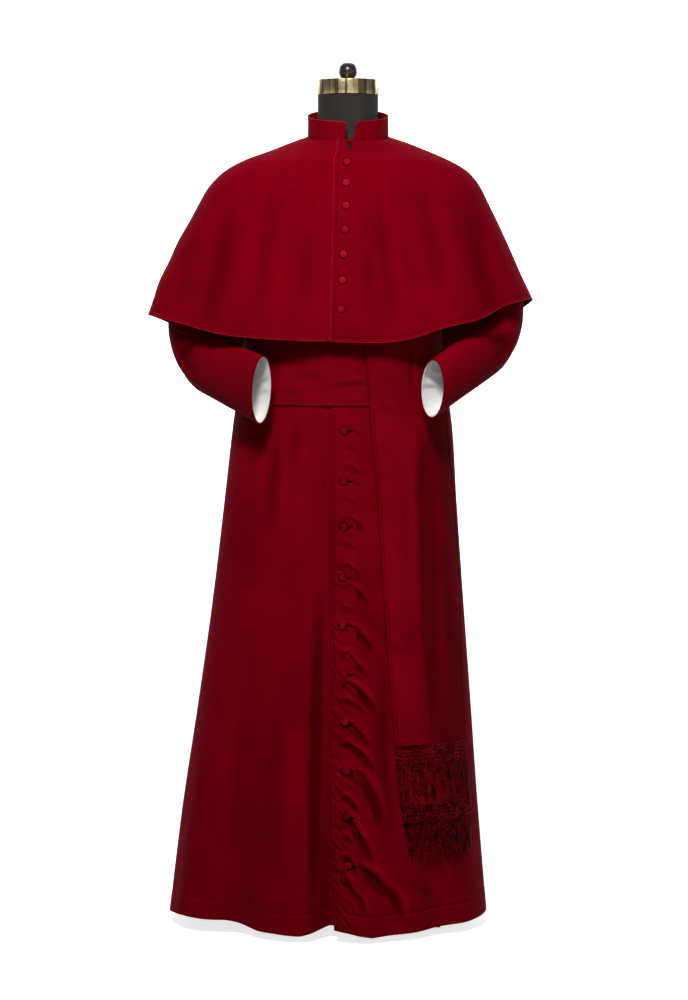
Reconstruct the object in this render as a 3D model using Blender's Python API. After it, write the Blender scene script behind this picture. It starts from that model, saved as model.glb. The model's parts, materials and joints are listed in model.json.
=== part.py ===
"""A clerical cassock with a shoulder cape and a fringed sash, on a limbless dress form.

Units are metres. +Z is up, the front faces -Y, and the wearer's right side lies at -X. The origin is on
the floor, at the centre of the stand's base. A place round the body is its turn: 0 degrees at the
centre front, +90 at the wearer's left side, -90 at the right side and 180 at the centre back.
"""

import math
from collections import namedtuple

import bmesh
import bpy
import numpy as np
from mathutils import Matrix, Vector

# Cloth and seams
CLOTH = 0.0018
LINING = 0.0012
SEAM = 0.0003
LAYER = CLOTH + SEAM

# Heights of the cassock's body
HEM = 0.011
SASH_LOW = 0.935
SASH_HIGH = 1.074
ARMHOLE_LOW = 1.130
ARMHOLE_HIGH = 1.352
ARMHOLE_HALF_WIDTH = 30.0
NECK = 1.3955
# The neckline lies lower in front than behind: from one height to another it tilts by this share of depth
NECK_TILT = 0.123
NECK_TILT_FROM, NECK_TILT_TO = 1.354, 1.392
SKIRT_STEPS = 7
ARMHOLE_STEPS = 7
SHOULDER_ROWS = (1.364, 1.379, 1.390, NECK)
COLUMN_STEP = 14.0
LEAST_STEP = 5.0

# Half widths and half depths of the cassock's body at each height
Section = namedtuple("Section", "z right left front back")
BODY = (
    Section(0.010, 0.322, 0.2500, 0.182, 0.176),
    Section(0.219, 0.2955, 0.2323, 0.168, 0.163),
    Section(0.400, 0.2675, 0.2193, 0.155, 0.150),
    Section(0.581, 0.2415, 0.2058, 0.144, 0.139),
    Section(0.761, 0.2195, 0.1930, 0.135, 0.129),
    Section(0.904, 0.2026, 0.1835, 0.128, 0.120),
    Section(0.990, 0.1900, 0.1710, 0.126, 0.116),
    Section(1.075, 0.1790, 0.1620, 0.127, 0.118),
    Section(1.130, 0.1770, 0.1680, 0.128, 0.121),
    Section(1.240, 0.1780, 0.1760, 0.124, 0.121),
    Section(1.290, 0.1770, 0.1770, 0.117, 0.115),
    Section(1.330, 0.1750, 0.1750, 0.108, 0.106),
    Section(1.352, 0.1680, 0.1680, 0.100, 0.097),
    Section(1.364, 0.1500, 0.1500, 0.094, 0.091),
    Section(1.379, 0.1210, 0.1210, 0.084, 0.083),
    Section(1.390, 0.0920, 0.0920, 0.074, 0.074),
    Section(1.3955, 0.0703, 0.0703, 0.0690, 0.0690),
    Section(1.4010, 0.0490, 0.0490, 0.0640, 0.0640),
)

# Folds of the skirt: the turn of each fold's middle, its half spread, how far its middle stands out at
# the hem (troughs are negative), and the height at which it starts
Fold = namedtuple("Fold", "turn spread depth top")
RIGHT_FRONT_FOLDS = (
    Fold(-64.0, 14.0, 0.006, 0.50),
    Fold(-40.0, 15.0, -0.026, 0.55),
    Fold(-17.5, 10.0, 0.008, 0.70),
    Fold(-5.5, 8.0, -0.040, 0.56),
)
LEFT_FRONT_FOLDS = (
    Fold(-9.0, 9.0, -0.014, 0.45),
    Fold(7.0, 11.0, 0.012, 0.60),
    Fold(42.0, 17.0, -0.014, 0.70),
)
RIGHT_BACK_FOLDS = (
    Fold(-118.0, 15.0, -0.022, 0.78),
    Fold(-136.0, 13.0, 0.012, 0.66),
    Fold(-153.0, 14.0, -0.026, 0.84),
    Fold(-170.0, 10.0, 0.012, 0.80),
)
LEFT_BACK_FOLDS = (
    Fold(114.0, 14.0, -0.018, 0.70),
    Fold(133.0, 13.0, 0.010, 0.74),
    Fold(150.0, 14.0, -0.022, 0.80),
    Fold(168.0, 12.0, 0.014, 0.86),
)

# The left front lies over the right one. Its edge is given by its distance from the centre front
Edge = namedtuple("Edge", "z x")
CLOSING_EDGE = (
    Edge(0.010, -0.0230),
    Edge(0.250, -0.0290),
    Edge(0.500, -0.0314),
    Edge(0.935, -0.0296),
    Edge(1.3955, -0.0230),
)
UNDERLAP = 4.0
LIFT_END = 8.0
LIFT_LIMITS = (UNDERLAP, LIFT_END)
FRONT_LIFT = LAYER + 0.0004

# The hem lies a little higher at the sides
Hem = namedtuple("Hem", "turn rise")
HEM_RISE = (
    Hem(-180.0, 0.0),
    Hem(-90.0, 0.008),
    Hem(-65.0, 0.016),
    Hem(-45.0, 0.014),
    Hem(-30.0, 0.004),
    Hem(-15.0, 0.001),
    Hem(-6.0, 0.012),
    Hem(2.0, 0.006),
    Hem(9.0, 0.0),
    Hem(60.0, 0.008),
    Hem(90.0, 0.012),
    Hem(180.0, 0.0),
)
RISE_REACH = 0.30

# The cape's half widths and half depths at each height, from hem to neck
CAPE = (
    Section(1.020, 0.364, 0.348, 0.157, 0.166),
    Section(1.090, 0.354, 0.334, 0.154, 0.161),
    Section(1.117, 0.345, 0.327, 0.152, 0.158),
    Section(1.150, 0.334, 0.311, 0.149, 0.154),
    Section(1.186, 0.316, 0.295, 0.146, 0.150),
    Section(1.221, 0.300, 0.279, 0.142, 0.145),
    Section(1.257, 0.279, 0.262, 0.137, 0.139),
    Section(1.292, 0.260, 0.245, 0.130, 0.131),
    Section(1.311, 0.249, 0.236, 0.125, 0.125),
    Section(1.328, 0.235, 0.225, 0.118, 0.118),
    Section(1.346, 0.214, 0.207, 0.110, 0.110),
    Section(1.364, 0.180, 0.175, 0.1030, 0.101),
    Section(1.3815, 0.131, 0.134, 0.0920, 0.091),
    Section(1.396, 0.093, 0.095, 0.0800, 0.080),
    Section(1.4025, 0.0742, 0.0742, 0.0732, 0.0732),
    Section(1.4110, 0.0530, 0.0530, 0.0640, 0.0640),
)
CAPE_NECK = 1.4025
CAPE_FOOT = 1.050
CAPE_LIFT = 1.5 * LAYER
CAPE_CROWDING = 1.80
CAPE_STEPS = 10
CapeHem = namedtuple("CapeHem", "turn z")
CAPE_HEM = (
    CapeHem(-180.0, 1.030),
    CapeHem(-140.0, 1.032),
    CapeHem(-114.0, 1.078),
    CapeHem(-90.0, 1.0918),
    CapeHem(-66.0, 1.0857),
    CapeHem(-48.0, 1.0690),
    CapeHem(-35.0, 1.0572),
    CapeHem(-23.0, 1.0516),
    CapeHem(-8.0, 1.0480),
    CapeHem(18.0, 1.0516),
    CapeHem(27.0, 1.0672),
    CapeHem(44.0, 1.0867),
    CapeHem(56.0, 1.1054),
    CapeHem(90.0, 1.1177),
    CapeHem(112.0, 1.098),
    CapeHem(138.0, 1.028),
    CapeHem(180.0, 1.026),
)
CAPE_RIGHT_FOLDS = (
    Fold(-52.0, 15.0, -0.013, 1.35),
    Fold(-76.0, 10.0, 0.006, 1.22),
    Fold(-142.0, 16.0, -0.012, 1.34),
    Fold(-165.0, 10.0, 0.006, 1.24),
)
CAPE_LEFT_FOLDS = (
    Fold(23.0, 9.0, 0.007, 1.20),
    Fold(56.0, 14.0, -0.012, 1.34),
    Fold(140.0, 15.0, -0.011, 1.33),
    Fold(162.0, 12.0, 0.006, 1.26),
)
CAPE_EDGE = (Edge(1.045, -0.0312), Edge(1.4025, -0.0226))
CAPE_UNDERLAP = 4.0
CAPE_LIFT_END = 9.0

# Sleeves: flattened tubes that bend forwards at the elbow, the centre of the cuff at the wrist
Sleeve = namedtuple("Sleeve", "name side shoulder elbow wrist bend cuff_half slant")
SLEEVES = (
    Sleeve(
        "right",
        side=-1,
        shoulder=(-0.195, 0.000, 1.330),
        elbow=(-0.308, 0.026, 1.030),
        wrist=(-0.1487, -0.150, 0.9630),
        bend=0.085,
        cuff_half=(0.0225, 0.058),
        slant=0.010,
    ),
    Sleeve(
        "left",
        side=1,
        shoulder=(0.185, -0.004, 1.330),
        elbow=(0.302, 0.018, 1.066),
        wrist=(0.1450, -0.150, 0.9650),
        bend=0.095,
        cuff_half=(0.026, 0.046),
        slant=0.020,
    ),
)
ARM_START = 0.66
ARM_HALF = (0.035, 0.045)
ELBOW_TAPER = 2
ELBOW_STEPS = 4
FOREARM_STEPS = 3
BLEND_STEPS = (0.18, 0.42, 0.70)
FRONT_SEAM = 4
BACK_SEAM = 10
LINING_RINGS = 3
LINING_SETBACK = 0.0015

# Collar
COLLAR_RADIUS = 0.0703
COLLAR_FOOT = 1.3988
COLLAR_TOP = 1.4405
COLLAR_TILT = 0.20
COLLAR_STEPS = 26
COLLAR_CORNER = 0.006
COLLAR_GAP_TOP = (-0.0035, 0.0150)
COLLAR_GAP_FOOT = (-0.0050, 0.0080)

# Sash
SashTop = namedtuple("SashTop", "turn z")
SASH_TOP = (
    SashTop(-180.0, SASH_HIGH),
    SashTop(-110.0, SASH_HIGH),
    SashTop(-90.0, 1.062),
    SashTop(-66.0, 1.040),
    SashTop(-45.0, 1.0205),
    SashTop(-30.0, 1.033),
    SashTop(-18.0, 1.048),
    SashTop(-4.0, 1.066),
    SashTop(10.0, SASH_HIGH),
    SashTop(180.0, SASH_HIGH),
)
SASH_STEPS = 2
SASH_EASE = 0.0006
FallEdge = namedtuple("FallEdge", "z left_x right_x")
FALL_EDGES = (
    FallEdge(0.110, 0.1150, 0.2180),
    FallEdge(0.232, 0.0900, 0.2140),
    FallEdge(0.342, 0.0795, 0.2020),
    FallEdge(0.580, 0.0615, 0.1920),
    FallEdge(0.740, 0.0515, 0.1840),
    FallEdge(0.938, 0.0355, 0.1660),
    FallEdge(1.074, 0.0260, 0.1560),
)
FALL_STEPS = 7
FRONT_FALL_END = 0.342
BACK_FALL_END = 0.236
FRINGE_STRIP = 0.006
FRINGE_STRANDS = 22
STRAND_SHARE = 0.62
STRAND_RINGS = 2
STRAND_TAPER = 0.55
STRAND_SWAY = 0.010
FRONT_FRINGE_END = 0.233
BACK_FRINGE_END = 0.134

# Covered buttons, by the height of each one's middle
BUTTON_PROFILE = ((0.0060, 0.0), (0.0066, 0.0012), (0.0052, 0.0032), (0.0020, 0.0042))
BUTTON_SIDES = 10
Spot = namedtuple("Spot", "x z")
FRONT_BUTTONS = (
    Spot(-0.0069, 0.8913),
    Spot(-0.0077, 0.8037),
    Spot(-0.0069, 0.7248),
    Spot(-0.0095, 0.6362),
    Spot(-0.0092, 0.5528),
    Spot(-0.0067, 0.4677),
    Spot(-0.0047, 0.3850),
    Spot(-0.0026, 0.3008),
    Spot(-0.0020, 0.2190),
    Spot(0.0022, 0.1323),
)
CAPE_BUTTONS = (
    Spot(-0.0018, 1.3549),
    Spot(-0.0030, 1.3186),
    Spot(-0.0035, 1.2800),
    Spot(-0.0052, 1.2391),
    Spot(-0.0078, 1.1963),
    Spot(-0.0100, 1.1517),
    Spot(-0.0121, 1.1020),
)

# Hook and bar at the neck of the cape
HOOK_Z = 1.3815
HOOK_X = 0.0020
HOOK_SIZE = (0.0075, 0.0115, 0.0012)

# Dress form and stand
FormLevel = namedtuple("FormLevel", "z inset")
FORM = (
    FormLevel(0.800, 0.052),
    FormLevel(0.840, 0.036),
    FormLevel(0.900, 0.024),
    FormLevel(1.000, 0.010),
    FormLevel(1.100, 0.006),
    FormLevel(1.200, 0.005),
    FormLevel(1.290, 0.0045),
    FormLevel(1.330, 0.0038),
    FormLevel(1.352, 0.0032),
    FormLevel(1.379, 0.0030),
    FormLevel(1.388, 0.0030),
)
FORM_SIDES = 24
NeckRing = namedtuple("NeckRing", "radius z tilt")
NECK_RINGS = (
    NeckRing(0.0640, 1.3895, 0.118),
    NeckRing(0.0570, 1.3990, 0.118),
    NeckRing(0.0532, 1.4130, 0.100),
    NeckRing(0.0532, 1.4775, 0.0),
)
NECK_RING_PROFILE = ((0.0515, 1.4778), (0.0545, 1.4800), (0.0545, 1.5010), (0.0520, 1.5040))
KNOB_RADIUS = 0.0165
KNOB_FOOT = 1.5043
KNOB_STEPS = 7
# How far below and above the ball's middle it is cut flat, in degrees of its round
KNOB_FOOT_CUT = -64.0
KNOB_CROWN_CUT = 68.0
POLE_RADIUS = 0.0125
# The base is an H of flat steel: a cross bar under the pole and a runner at each side of it
BASE_HALF_WIDTH = 0.165
BASE_FRONT = -0.062
BASE_BACK = 0.118
BAR_HALF = 0.027
BASE_HEIGHT = 0.018
BASE_BEVEL = 0.002
# The base's flat sides in four-cornered parts, by the places of their corners round the H's outline
BASE_CAPS = (
    (0, 1, 2, 3),
    (0, 3, 4, 7),
    (7, 4, 5, 6),
    (0, 7, 8, 15),
    (15, 8, 11, 12),
    (12, 13, 14, 15),
    (8, 9, 10, 11),
)
ROUND_SIDES = 32
POLE_SIDES = 16

Finish = namedtuple("Finish", "color roughness metallic")
FINISHES = {
    "crimson_wool": Finish((0.168, 0.0030, 0.0060), 0.75, 0.0),
    "crimson_silk": Finish((0.205, 0.0040, 0.0080), 0.45, 0.0),
    "fringe_silk": Finish((0.080, 0.0010, 0.0030), 0.55, 0.0),
    "white_lining": Finish((0.780, 0.7700, 0.7600), 0.80, 0.0),
    "form_cloth": Finish((0.038, 0.0330, 0.0290), 0.85, 0.0),
    "brass": Finish((0.400, 0.3300, 0.2200), 0.35, 1.0),
    "black_wood": Finish((0.035, 0.0280, 0.0220), 0.40, 0.0),
    "black_steel": Finish((0.015, 0.0150, 0.0150), 0.35, 1.0),
}


def clear_scene():
    for obj in list(bpy.data.objects):
        bpy.data.objects.remove(obj, do_unlink=True)


def material(name):
    """The Principled material of one finish, made the first time it is asked for."""
    found = bpy.data.materials.get(name)
    if found:
        return found
    made = bpy.data.materials.new(name)
    made.use_nodes = True
    shader = made.node_tree.nodes["Principled BSDF"]
    finish = FINISHES[name]
    shader.inputs["Base Color"].default_value = (*finish.color, 1.0)
    shader.inputs["Roughness"].default_value = finish.roughness
    shader.inputs["Metallic"].default_value = finish.metallic
    return made


def add_object(name, mesh, finish):
    if not mesh.materials:
        mesh.materials.append(material(finish))
    obj = bpy.data.objects.new(name, mesh)
    bpy.context.scene.collection.objects.link(obj)
    return obj


def mesh_from(bm, name):
    """Turns a bmesh of one closed body into a smooth-shaded mesh whose faces point out."""
    bmesh.ops.triangulate(bm, faces=bm.faces, quad_method="FIXED")
    bmesh.ops.recalc_face_normals(bm, faces=bm.faces)
    mesh = bpy.data.meshes.new(name)
    bm.to_mesh(mesh)
    bm.free()
    mesh.shade_smooth()
    mesh.set_sharp_from_angle(angle=math.radians(45.0))
    return mesh


def ease(share):
    """0 up to 0, 1 from 1, and a smooth rise between."""
    share = np.clip(share, 0.0, 1.0)
    return share * share * (3.0 - 2.0 * share)


def smooth_column(table, key, value, at):
    """Reads a column of a table at any key, along a smooth curve through its rows."""
    keys = np.array([getattr(row, key) for row in table])
    values = np.array([getattr(row, value) for row in table])
    slopes = np.gradient(values, keys)
    at = np.clip(at, keys[0], keys[-1])
    row = np.clip(np.searchsorted(keys, at, side="right") - 1, 0, len(keys) - 2)
    width = keys[row + 1] - keys[row]
    share = (at - keys[row]) / width
    rise = ease(share)
    start = share * (1.0 - share) ** 2 * slopes[row] * width
    end = share * share * (1.0 - share) * slopes[row + 1] * width
    return values[row] * (1.0 - rise) + values[row + 1] * rise + start - end


def straight_column(table, key, value, at):
    """Reads a column of a table at any key, along straight lines between its rows."""
    keys = [getattr(row, key) for row in table]
    return np.interp(at, keys, [getattr(row, value) for row in table])


def oval(sections, turn, z, folds, foot):
    """Points of a body of oval sections at a turn and height, with folds that grow towards its foot."""
    angle = np.radians(turn)
    across, forward = np.sin(angle), np.cos(angle)
    side = np.where(
        across > 0.0,
        smooth_column(sections, "z", "left", z),
        smooth_column(sections, "z", "right", z),
    )
    depth = np.where(
        forward > 0.0,
        smooth_column(sections, "z", "front", z),
        smooth_column(sections, "z", "back", z),
    )
    out_x, out_y = across / side, -forward / depth
    length = np.hypot(out_x, out_y)
    fold = np.zeros(np.shape(turn + z))
    for row in folds:
        near = np.clip(np.abs(turn - row.turn) / row.spread, 0.0, 1.0)
        fold = fold + row.depth * 0.5 * (1.0 + np.cos(np.pi * near)) * ease((row.top - z) / (row.top - foot))
    x = side * across + fold * out_x / length
    y = -depth * forward + fold * out_y / length
    tilt = NECK_TILT * y * ease((z - NECK_TILT_FROM) / (NECK_TILT_TO - NECK_TILT_FROM))
    return np.stack([x, y, z + tilt], axis=-1)


def risen(turn, z):
    """The height of a skirt point once the hem's rise at this turn is added to it."""
    rise = straight_column(HEM_RISE, "turn", "rise", turn)
    return z + rise * np.clip(1.0 - (z - HEM) / RISE_REACH, 0.0, 1.0)


def body(folds):
    """The cassock's body as a surface function of turn and height."""
    return lambda turn, z: oval(BODY, turn, risen(turn, z), folds, HEM)


def cape(folds):
    """The cape as a surface function of turn and share, from 0 at the hem to 1 at the neck."""

    def surface(turn, share):
        low = smooth_column(CAPE_HEM, "turn", "z", turn)
        z = low + (CAPE_NECK - low) * share * (CAPE_CROWDING - (CAPE_CROWDING - 1.0) * share)
        return oval(CAPE, turn, z, folds, CAPE_FOOT)

    return surface


def grid_of(surface, u, v):
    """A grid of points on a surface and their outward normals."""
    du, dv = 0.05, 0.0004
    points = surface(u, v)
    along = surface(u + du, v) - surface(u - du, v)
    up = surface(u, v + dv) - surface(u, v - dv)
    normals = np.cross(along, up)
    return points, normals / np.linalg.norm(normals, axis=-1, keepdims=True)


def draw_in(points, first=True, last=True):
    """Moves a grid's side edges in by half a seam, so that two panels meet with a seam's gap."""
    points = points.copy()
    for wanted, edge, inner in ((first, 0, 1), (last, -1, -2)):
        if wanted:
            step = points[:, inner] - points[:, edge]
            points[:, edge] += step / np.linalg.norm(step, axis=-1, keepdims=True) * SEAM / 2
    return points


def wall(name, points, normals, middle, finish, closed=False, thickness=CLOTH):
    """A cloth wall round a grid of points: middle is how far its middle lies out from the grid."""
    rows, columns = points.shape[:2]
    middle = np.broadcast_to(middle, (rows, columns))[..., None]
    skins = []
    bm = bmesh.new()
    for side in (-0.5, 0.5):
        skin = points + normals * (middle + side * thickness)
        skins.append([[bm.verts.new(point) for point in row] for row in skin])
    inner, outer = skins
    steps = [(j, (j + 1) % columns) for j in range(columns if closed else columns - 1)]
    for i in range(rows - 1):
        for j, k in steps:
            for skin in skins:
                bm.faces.new((skin[i][j], skin[i + 1][j], skin[i + 1][k], skin[i][k]))
    for i in (0, rows - 1):
        for j, k in steps:
            bm.faces.new((inner[i][j], inner[i][k], outer[i][k], outer[i][j]))
    if not closed:
        for j in (0, columns - 1):
            for i in range(rows - 1):
                bm.faces.new((inner[i][j], inner[i + 1][j], outer[i + 1][j], outer[i][j]))
    return add_object(name, mesh_from(bm, name), finish)


def turned_mesh(name, profile, sides):
    """A solid turned about Z from (radius, height) pairs that run upwards, with flat ends."""
    bm = bmesh.new()
    rings = []
    for radius, z in profile:
        turns = [2.0 * math.pi * k / sides for k in range(sides)]
        rings.append([bm.verts.new((radius * math.cos(a), radius * math.sin(a), z)) for a in turns])
    for low, high in zip(rings, rings[1:]):
        for k in range(sides):
            n = (k + 1) % sides
            bm.faces.new((low[k], low[n], high[n], high[k]))
    bm.faces.new(rings[0])
    bm.faces.new(rings[-1])
    return mesh_from(bm, name)


def columns_between(start, end, folds, needed=()):
    """Turns of a panel's columns: closer together at its folds, and no further apart than COLUMN_STEP."""
    marks = set()
    for fold in folds:
        marks |= {fold.turn + k * fold.spread / 2 for k in (-2, -1, 0, 1, 2)}
    kept = sorted({start, end, *needed})
    for mark in sorted(mark for mark in marks if start < mark < end):
        if min(abs(mark - other) for other in kept) >= LEAST_STEP:
            kept.append(mark)
    kept.sort()
    filled = [start]
    for low, high in zip(kept, kept[1:]):
        parts = max(1, math.ceil((high - low) / COLUMN_STEP))
        filled += [low + (high - low) * k / parts for k in range(1, parts + 1)]
    return np.array(filled)


def sash_rows():
    return np.linspace(SASH_LOW, SASH_HIGH, SASH_STEPS + 1)


def armhole_rows():
    steps = np.arange(ARMHOLE_STEPS + 1) / ARMHOLE_STEPS
    return ARMHOLE_LOW + (ARMHOLE_HIGH - ARMHOLE_LOW) * 0.5 * (1.0 - np.cos(np.pi * steps))


def body_rows():
    """Heights of the rows of the body's panels, from hem to neck."""
    skirt = np.linspace(HEM, SASH_LOW, SKIRT_STEPS + 1)[:-1]
    return np.concatenate([skirt, sash_rows(), armhole_rows(), SHOULDER_ROWS])


def armhole_width(z):
    """Half the armhole's width at a height, in degrees of turn."""
    share = np.clip((z - ARMHOLE_LOW) / (ARMHOLE_HIGH - ARMHOLE_LOW), 0.0, 1.0)
    return ARMHOLE_HALF_WIDTH * np.abs(np.sin(np.pi * share)) ** 0.8


def closing_turn(z):
    """The turn of the left front's free edge at a height."""
    x = straight_column(CLOSING_EDGE, "z", "x", z)
    return np.degrees(np.arcsin(x / smooth_column(BODY, "z", "right", z)))


def panel_grid(start, end, folds, rows, needed=()):
    """Columns and rows of a panel whose side edge, at +-90 degrees, gives way to the armhole."""
    columns = columns_between(start, end, folds, needed)
    turn, z = np.meshgrid(columns, rows)
    centre, side = (start, end) if abs(abs(end) - 90.0) < 1e-6 else (end, start)
    short = armhole_width(z) * np.sign(centre - side)
    return side + short + (turn - side) * (centre - side - short) / (centre - side), z


def make_body():
    rows = body_rows()
    turn, z = panel_grid(-90.0, UNDERLAP, RIGHT_FRONT_FOLDS, rows)
    points, normals = grid_of(body(RIGHT_FRONT_FOLDS), turn, z)
    wall("front_right", draw_in(points, last=False), normals, 0.0, "crimson_wool")

    turn, z = panel_grid(0.0, 90.0, LEFT_FRONT_FOLDS, rows, LIFT_LIMITS)
    edge = closing_turn(rows)[:, None]
    turn = np.hstack([edge, edge * 0.5, turn])
    z = np.hstack([z[:, :2], z])
    points, normals = grid_of(body(LEFT_FRONT_FOLDS), turn, z)
    raised = FRONT_LIFT * (1.0 - ease((turn - UNDERLAP) / (LIFT_END - UNDERLAP)))
    wall("front_left", draw_in(points, first=False), normals, raised, "crimson_wool")

    for name, start, end, folds in (
        ("back_right", -180.0, -90.0, RIGHT_BACK_FOLDS),
        ("back_left", 90.0, 180.0, LEFT_BACK_FOLDS),
    ):
        turn, z = panel_grid(start, end, folds, rows)
        points, normals = grid_of(body(folds), turn, z)
        wall(name, draw_in(points), normals, 0.0, "crimson_wool")


def unit(vector):
    return vector / np.linalg.norm(vector, axis=-1, keepdims=True)


def sleeve_path(sleeve):
    """Points and directions of the arm's middle line below the armhole, with a round elbow."""
    shoulder, elbow, wrist = (np.array(place) for place in (sleeve.shoulder, sleeve.elbow, sleeve.wrist))
    down, ahead = unit(elbow - shoulder), unit(wrist - elbow)
    turn = math.acos(float(np.clip(down @ ahead, -1.0, 1.0)))
    reach = sleeve.bend * math.tan(turn / 2.0)
    centre = elbow - down * reach + unit(ahead - down * (ahead @ down)) * sleeve.bend
    across = unit(ahead - down * (ahead @ down))
    places = [(shoulder + (elbow - shoulder) * ARM_START, down)]
    for k in range(ELBOW_STEPS + 1):
        angle = turn * k / ELBOW_STEPS
        places.append(
            (
                centre - across * sleeve.bend * math.cos(angle) + down * sleeve.bend * math.sin(angle),
                down * math.cos(angle) + across * math.sin(angle),
            )
        )
    start = elbow + ahead * reach
    for k in range(1, FOREARM_STEPS + 1):
        places.append((start + (wrist - start) * k / FOREARM_STEPS, ahead))
    return places


def arm_rings(sleeve, count):
    """Rings of the arm below the armhole: flat ovals whose long side lies in the plane of the bend."""
    places = sleeve_path(sleeve)
    rings = []
    around = 2.0 * np.pi * np.arange(count) / count
    for k, (centre, ahead) in enumerate(places):
        share = k / (len(places) - 1)
        outward = np.array((sleeve.side * 1.0, 0.0, 0.0)) * (1.0 - ease(share))
        outward = outward + np.array((sleeve.side * 0.815, -0.58, 0.0)) * ease(share)
        outward = unit(outward - ahead * (outward @ ahead))
        inside = unit(np.cross(ahead, outward)) * sleeve.side
        taper = max(0.0, k - ELBOW_TAPER) / (len(places) - 1 - ELBOW_TAPER)
        half_short, half_long = (a + (b - a) * taper for a, b in zip(ARM_HALF, sleeve.cuff_half))
        ring = centre + np.outer(np.cos(around) * half_short, outward)
        ring = ring + np.outer(np.sin(around) * half_long, inside)
        if k == len(places) - 1:
            ring = ring - np.outer(np.sin(around) * sleeve.slant, ahead)
        rings.append(ring)
    return np.array(rings), places[0][1]


def sleeve_grid(sleeve):
    """The whole sleeve as a closed grid of rings, from the armhole's edge to the cuff."""
    z = armhole_rows()[::-1]
    width = armhole_width(z)
    front = sleeve.side * (90.0 - width)
    back = sleeve.side * (90.0 + width[1:-1][::-1])
    turn = np.concatenate([front, back])
    z = np.concatenate([z, z[1:-1][::-1]])
    edge, outward = grid_of(body(()), turn, z)
    start = edge + outward * (CLOTH / 2 + SEAM)
    arm, down = arm_rings(sleeve, len(turn))
    reach = np.linalg.norm(arm[0] - start, axis=-1, keepdims=True)
    leave = outward * reach * 0.5
    arrive = down * reach
    rings = [start]
    for share in BLEND_STEPS:
        rise = ease(share)
        ring = start * (1.0 - rise) + arm[0] * rise
        ring = ring + leave * share * (1.0 - share) ** 2 - arrive * share * share * (1.0 - share)
        rings.append(ring)
    rings = np.array(rings + list(arm))
    around = np.roll(rings, -1, axis=1) - np.roll(rings, 1, axis=1)
    along = np.gradient(rings, axis=0)
    along[0] = outward
    normals = unit(np.cross(around, along))
    centres = rings.mean(axis=1, keepdims=True)
    if np.sum(normals[-1] * (rings[-1] - centres[-1])) < 0.0:
        normals = -normals
    return rings, normals


def make_sleeves():
    for sleeve in SLEEVES:
        rings, normals = sleeve_grid(sleeve)
        count = rings.shape[1]
        pieces = {
            "top": np.arange(BACK_SEAM, FRONT_SEAM + count + 1) % count,
            "under": np.arange(FRONT_SEAM, BACK_SEAM + 1),
        }
        for piece, columns in pieces.items():
            name = f"sleeve_{sleeve.name}_{piece}"
            wall(name, draw_in(rings[:, columns]), normals[:, columns], 0.0, "crimson_wool")
        inner, inward = rings[-1 - LINING_RINGS :].copy(), normals[-1 - LINING_RINGS :]
        ahead = unit(inner[-1] - inner[-2])
        inner[-1] -= ahead * LINING_SETBACK
        depth = -(CLOTH / 2 + SEAM + LINING / 2)
        name = f"cuff_lining_{sleeve.name}"
        wall(name, inner, inward, depth, "white_lining", closed=True, thickness=LINING)


def make_cape():
    shares = np.arange(CAPE_STEPS + 1) / CAPE_STEPS
    columns = columns_between(-180.0, CAPE_UNDERLAP, CAPE_RIGHT_FOLDS)
    turn, share = np.meshgrid(columns, shares)
    points, normals = grid_of(cape(CAPE_RIGHT_FOLDS), turn, share)
    wall("cape_right", draw_in(points, last=False), normals, 0.0, "crimson_wool")

    limits = (CAPE_UNDERLAP, CAPE_LIFT_END)
    columns = columns_between(0.0, 180.0, CAPE_LEFT_FOLDS, limits)
    turn, share = np.meshgrid(columns, shares)
    edge = cape_edge_turn(shares)[:, None]
    turn = np.hstack([edge, edge * 0.5, turn])
    share = np.hstack([share[:, :2], share])
    points, normals = grid_of(cape(CAPE_LEFT_FOLDS), turn, share)
    wall("cape_left", draw_in(points, first=False), normals, cape_lift(turn), "crimson_wool")


def cape_edge_turn(share):
    """The turn of the cape's free front edge at a share of its height."""
    z = cape(())(0.0 * share, share)[:, 2]
    x = straight_column(CAPE_EDGE, "z", "x", z)
    return np.degrees(np.arcsin(x / smooth_column(CAPE, "z", "right", z)))


def cape_lift(turn):
    """How far the cape's left half is lifted off the right half that it covers."""
    return CAPE_LIFT * (1.0 - ease((turn - CAPE_UNDERLAP) / (CAPE_LIFT_END - CAPE_UNDERLAP)))


def make_collar():
    """A standing band whose ends stand apart at the front and whose top slopes down to the front."""
    shares = np.linspace(0.0, 1.0, COLLAR_STEPS + 1)
    heights = np.array([0.0, 0.55, 1.0])
    points, normals = [], []
    for height in heights:
        left_end = COLLAR_GAP_FOOT[1] + (COLLAR_GAP_TOP[1] - COLLAR_GAP_FOOT[1]) * height
        right_end = COLLAR_GAP_FOOT[0] + (COLLAR_GAP_TOP[0] - COLLAR_GAP_FOOT[0]) * height
        start = math.asin(left_end / COLLAR_RADIUS)
        end = 2.0 * math.pi + math.asin(right_end / COLLAR_RADIUS)
        angle = start + (end - start) * shares
        out = np.stack([np.sin(angle), -np.cos(angle), 0.0 * angle], axis=-1)
        top = COLLAR_TOP - COLLAR_TILT * COLLAR_RADIUS * np.cos(angle)
        from_end = np.minimum(shares, 1.0 - shares) * (end - start) * COLLAR_RADIUS
        corner = np.clip(1.0 - from_end / COLLAR_CORNER, 0.0, 1.0)
        top = top - (COLLAR_CORNER * 0.6) * corner**2
        ring = out * COLLAR_RADIUS
        foot = COLLAR_FOOT - NECK_TILT * COLLAR_RADIUS * np.cos(angle)
        ring[:, 2] = foot + (top - foot) * height
        points.append(ring)
        normals.append(out)
    wall("collar", np.array(points), np.array(normals), 0.0, "crimson_wool")


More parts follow.
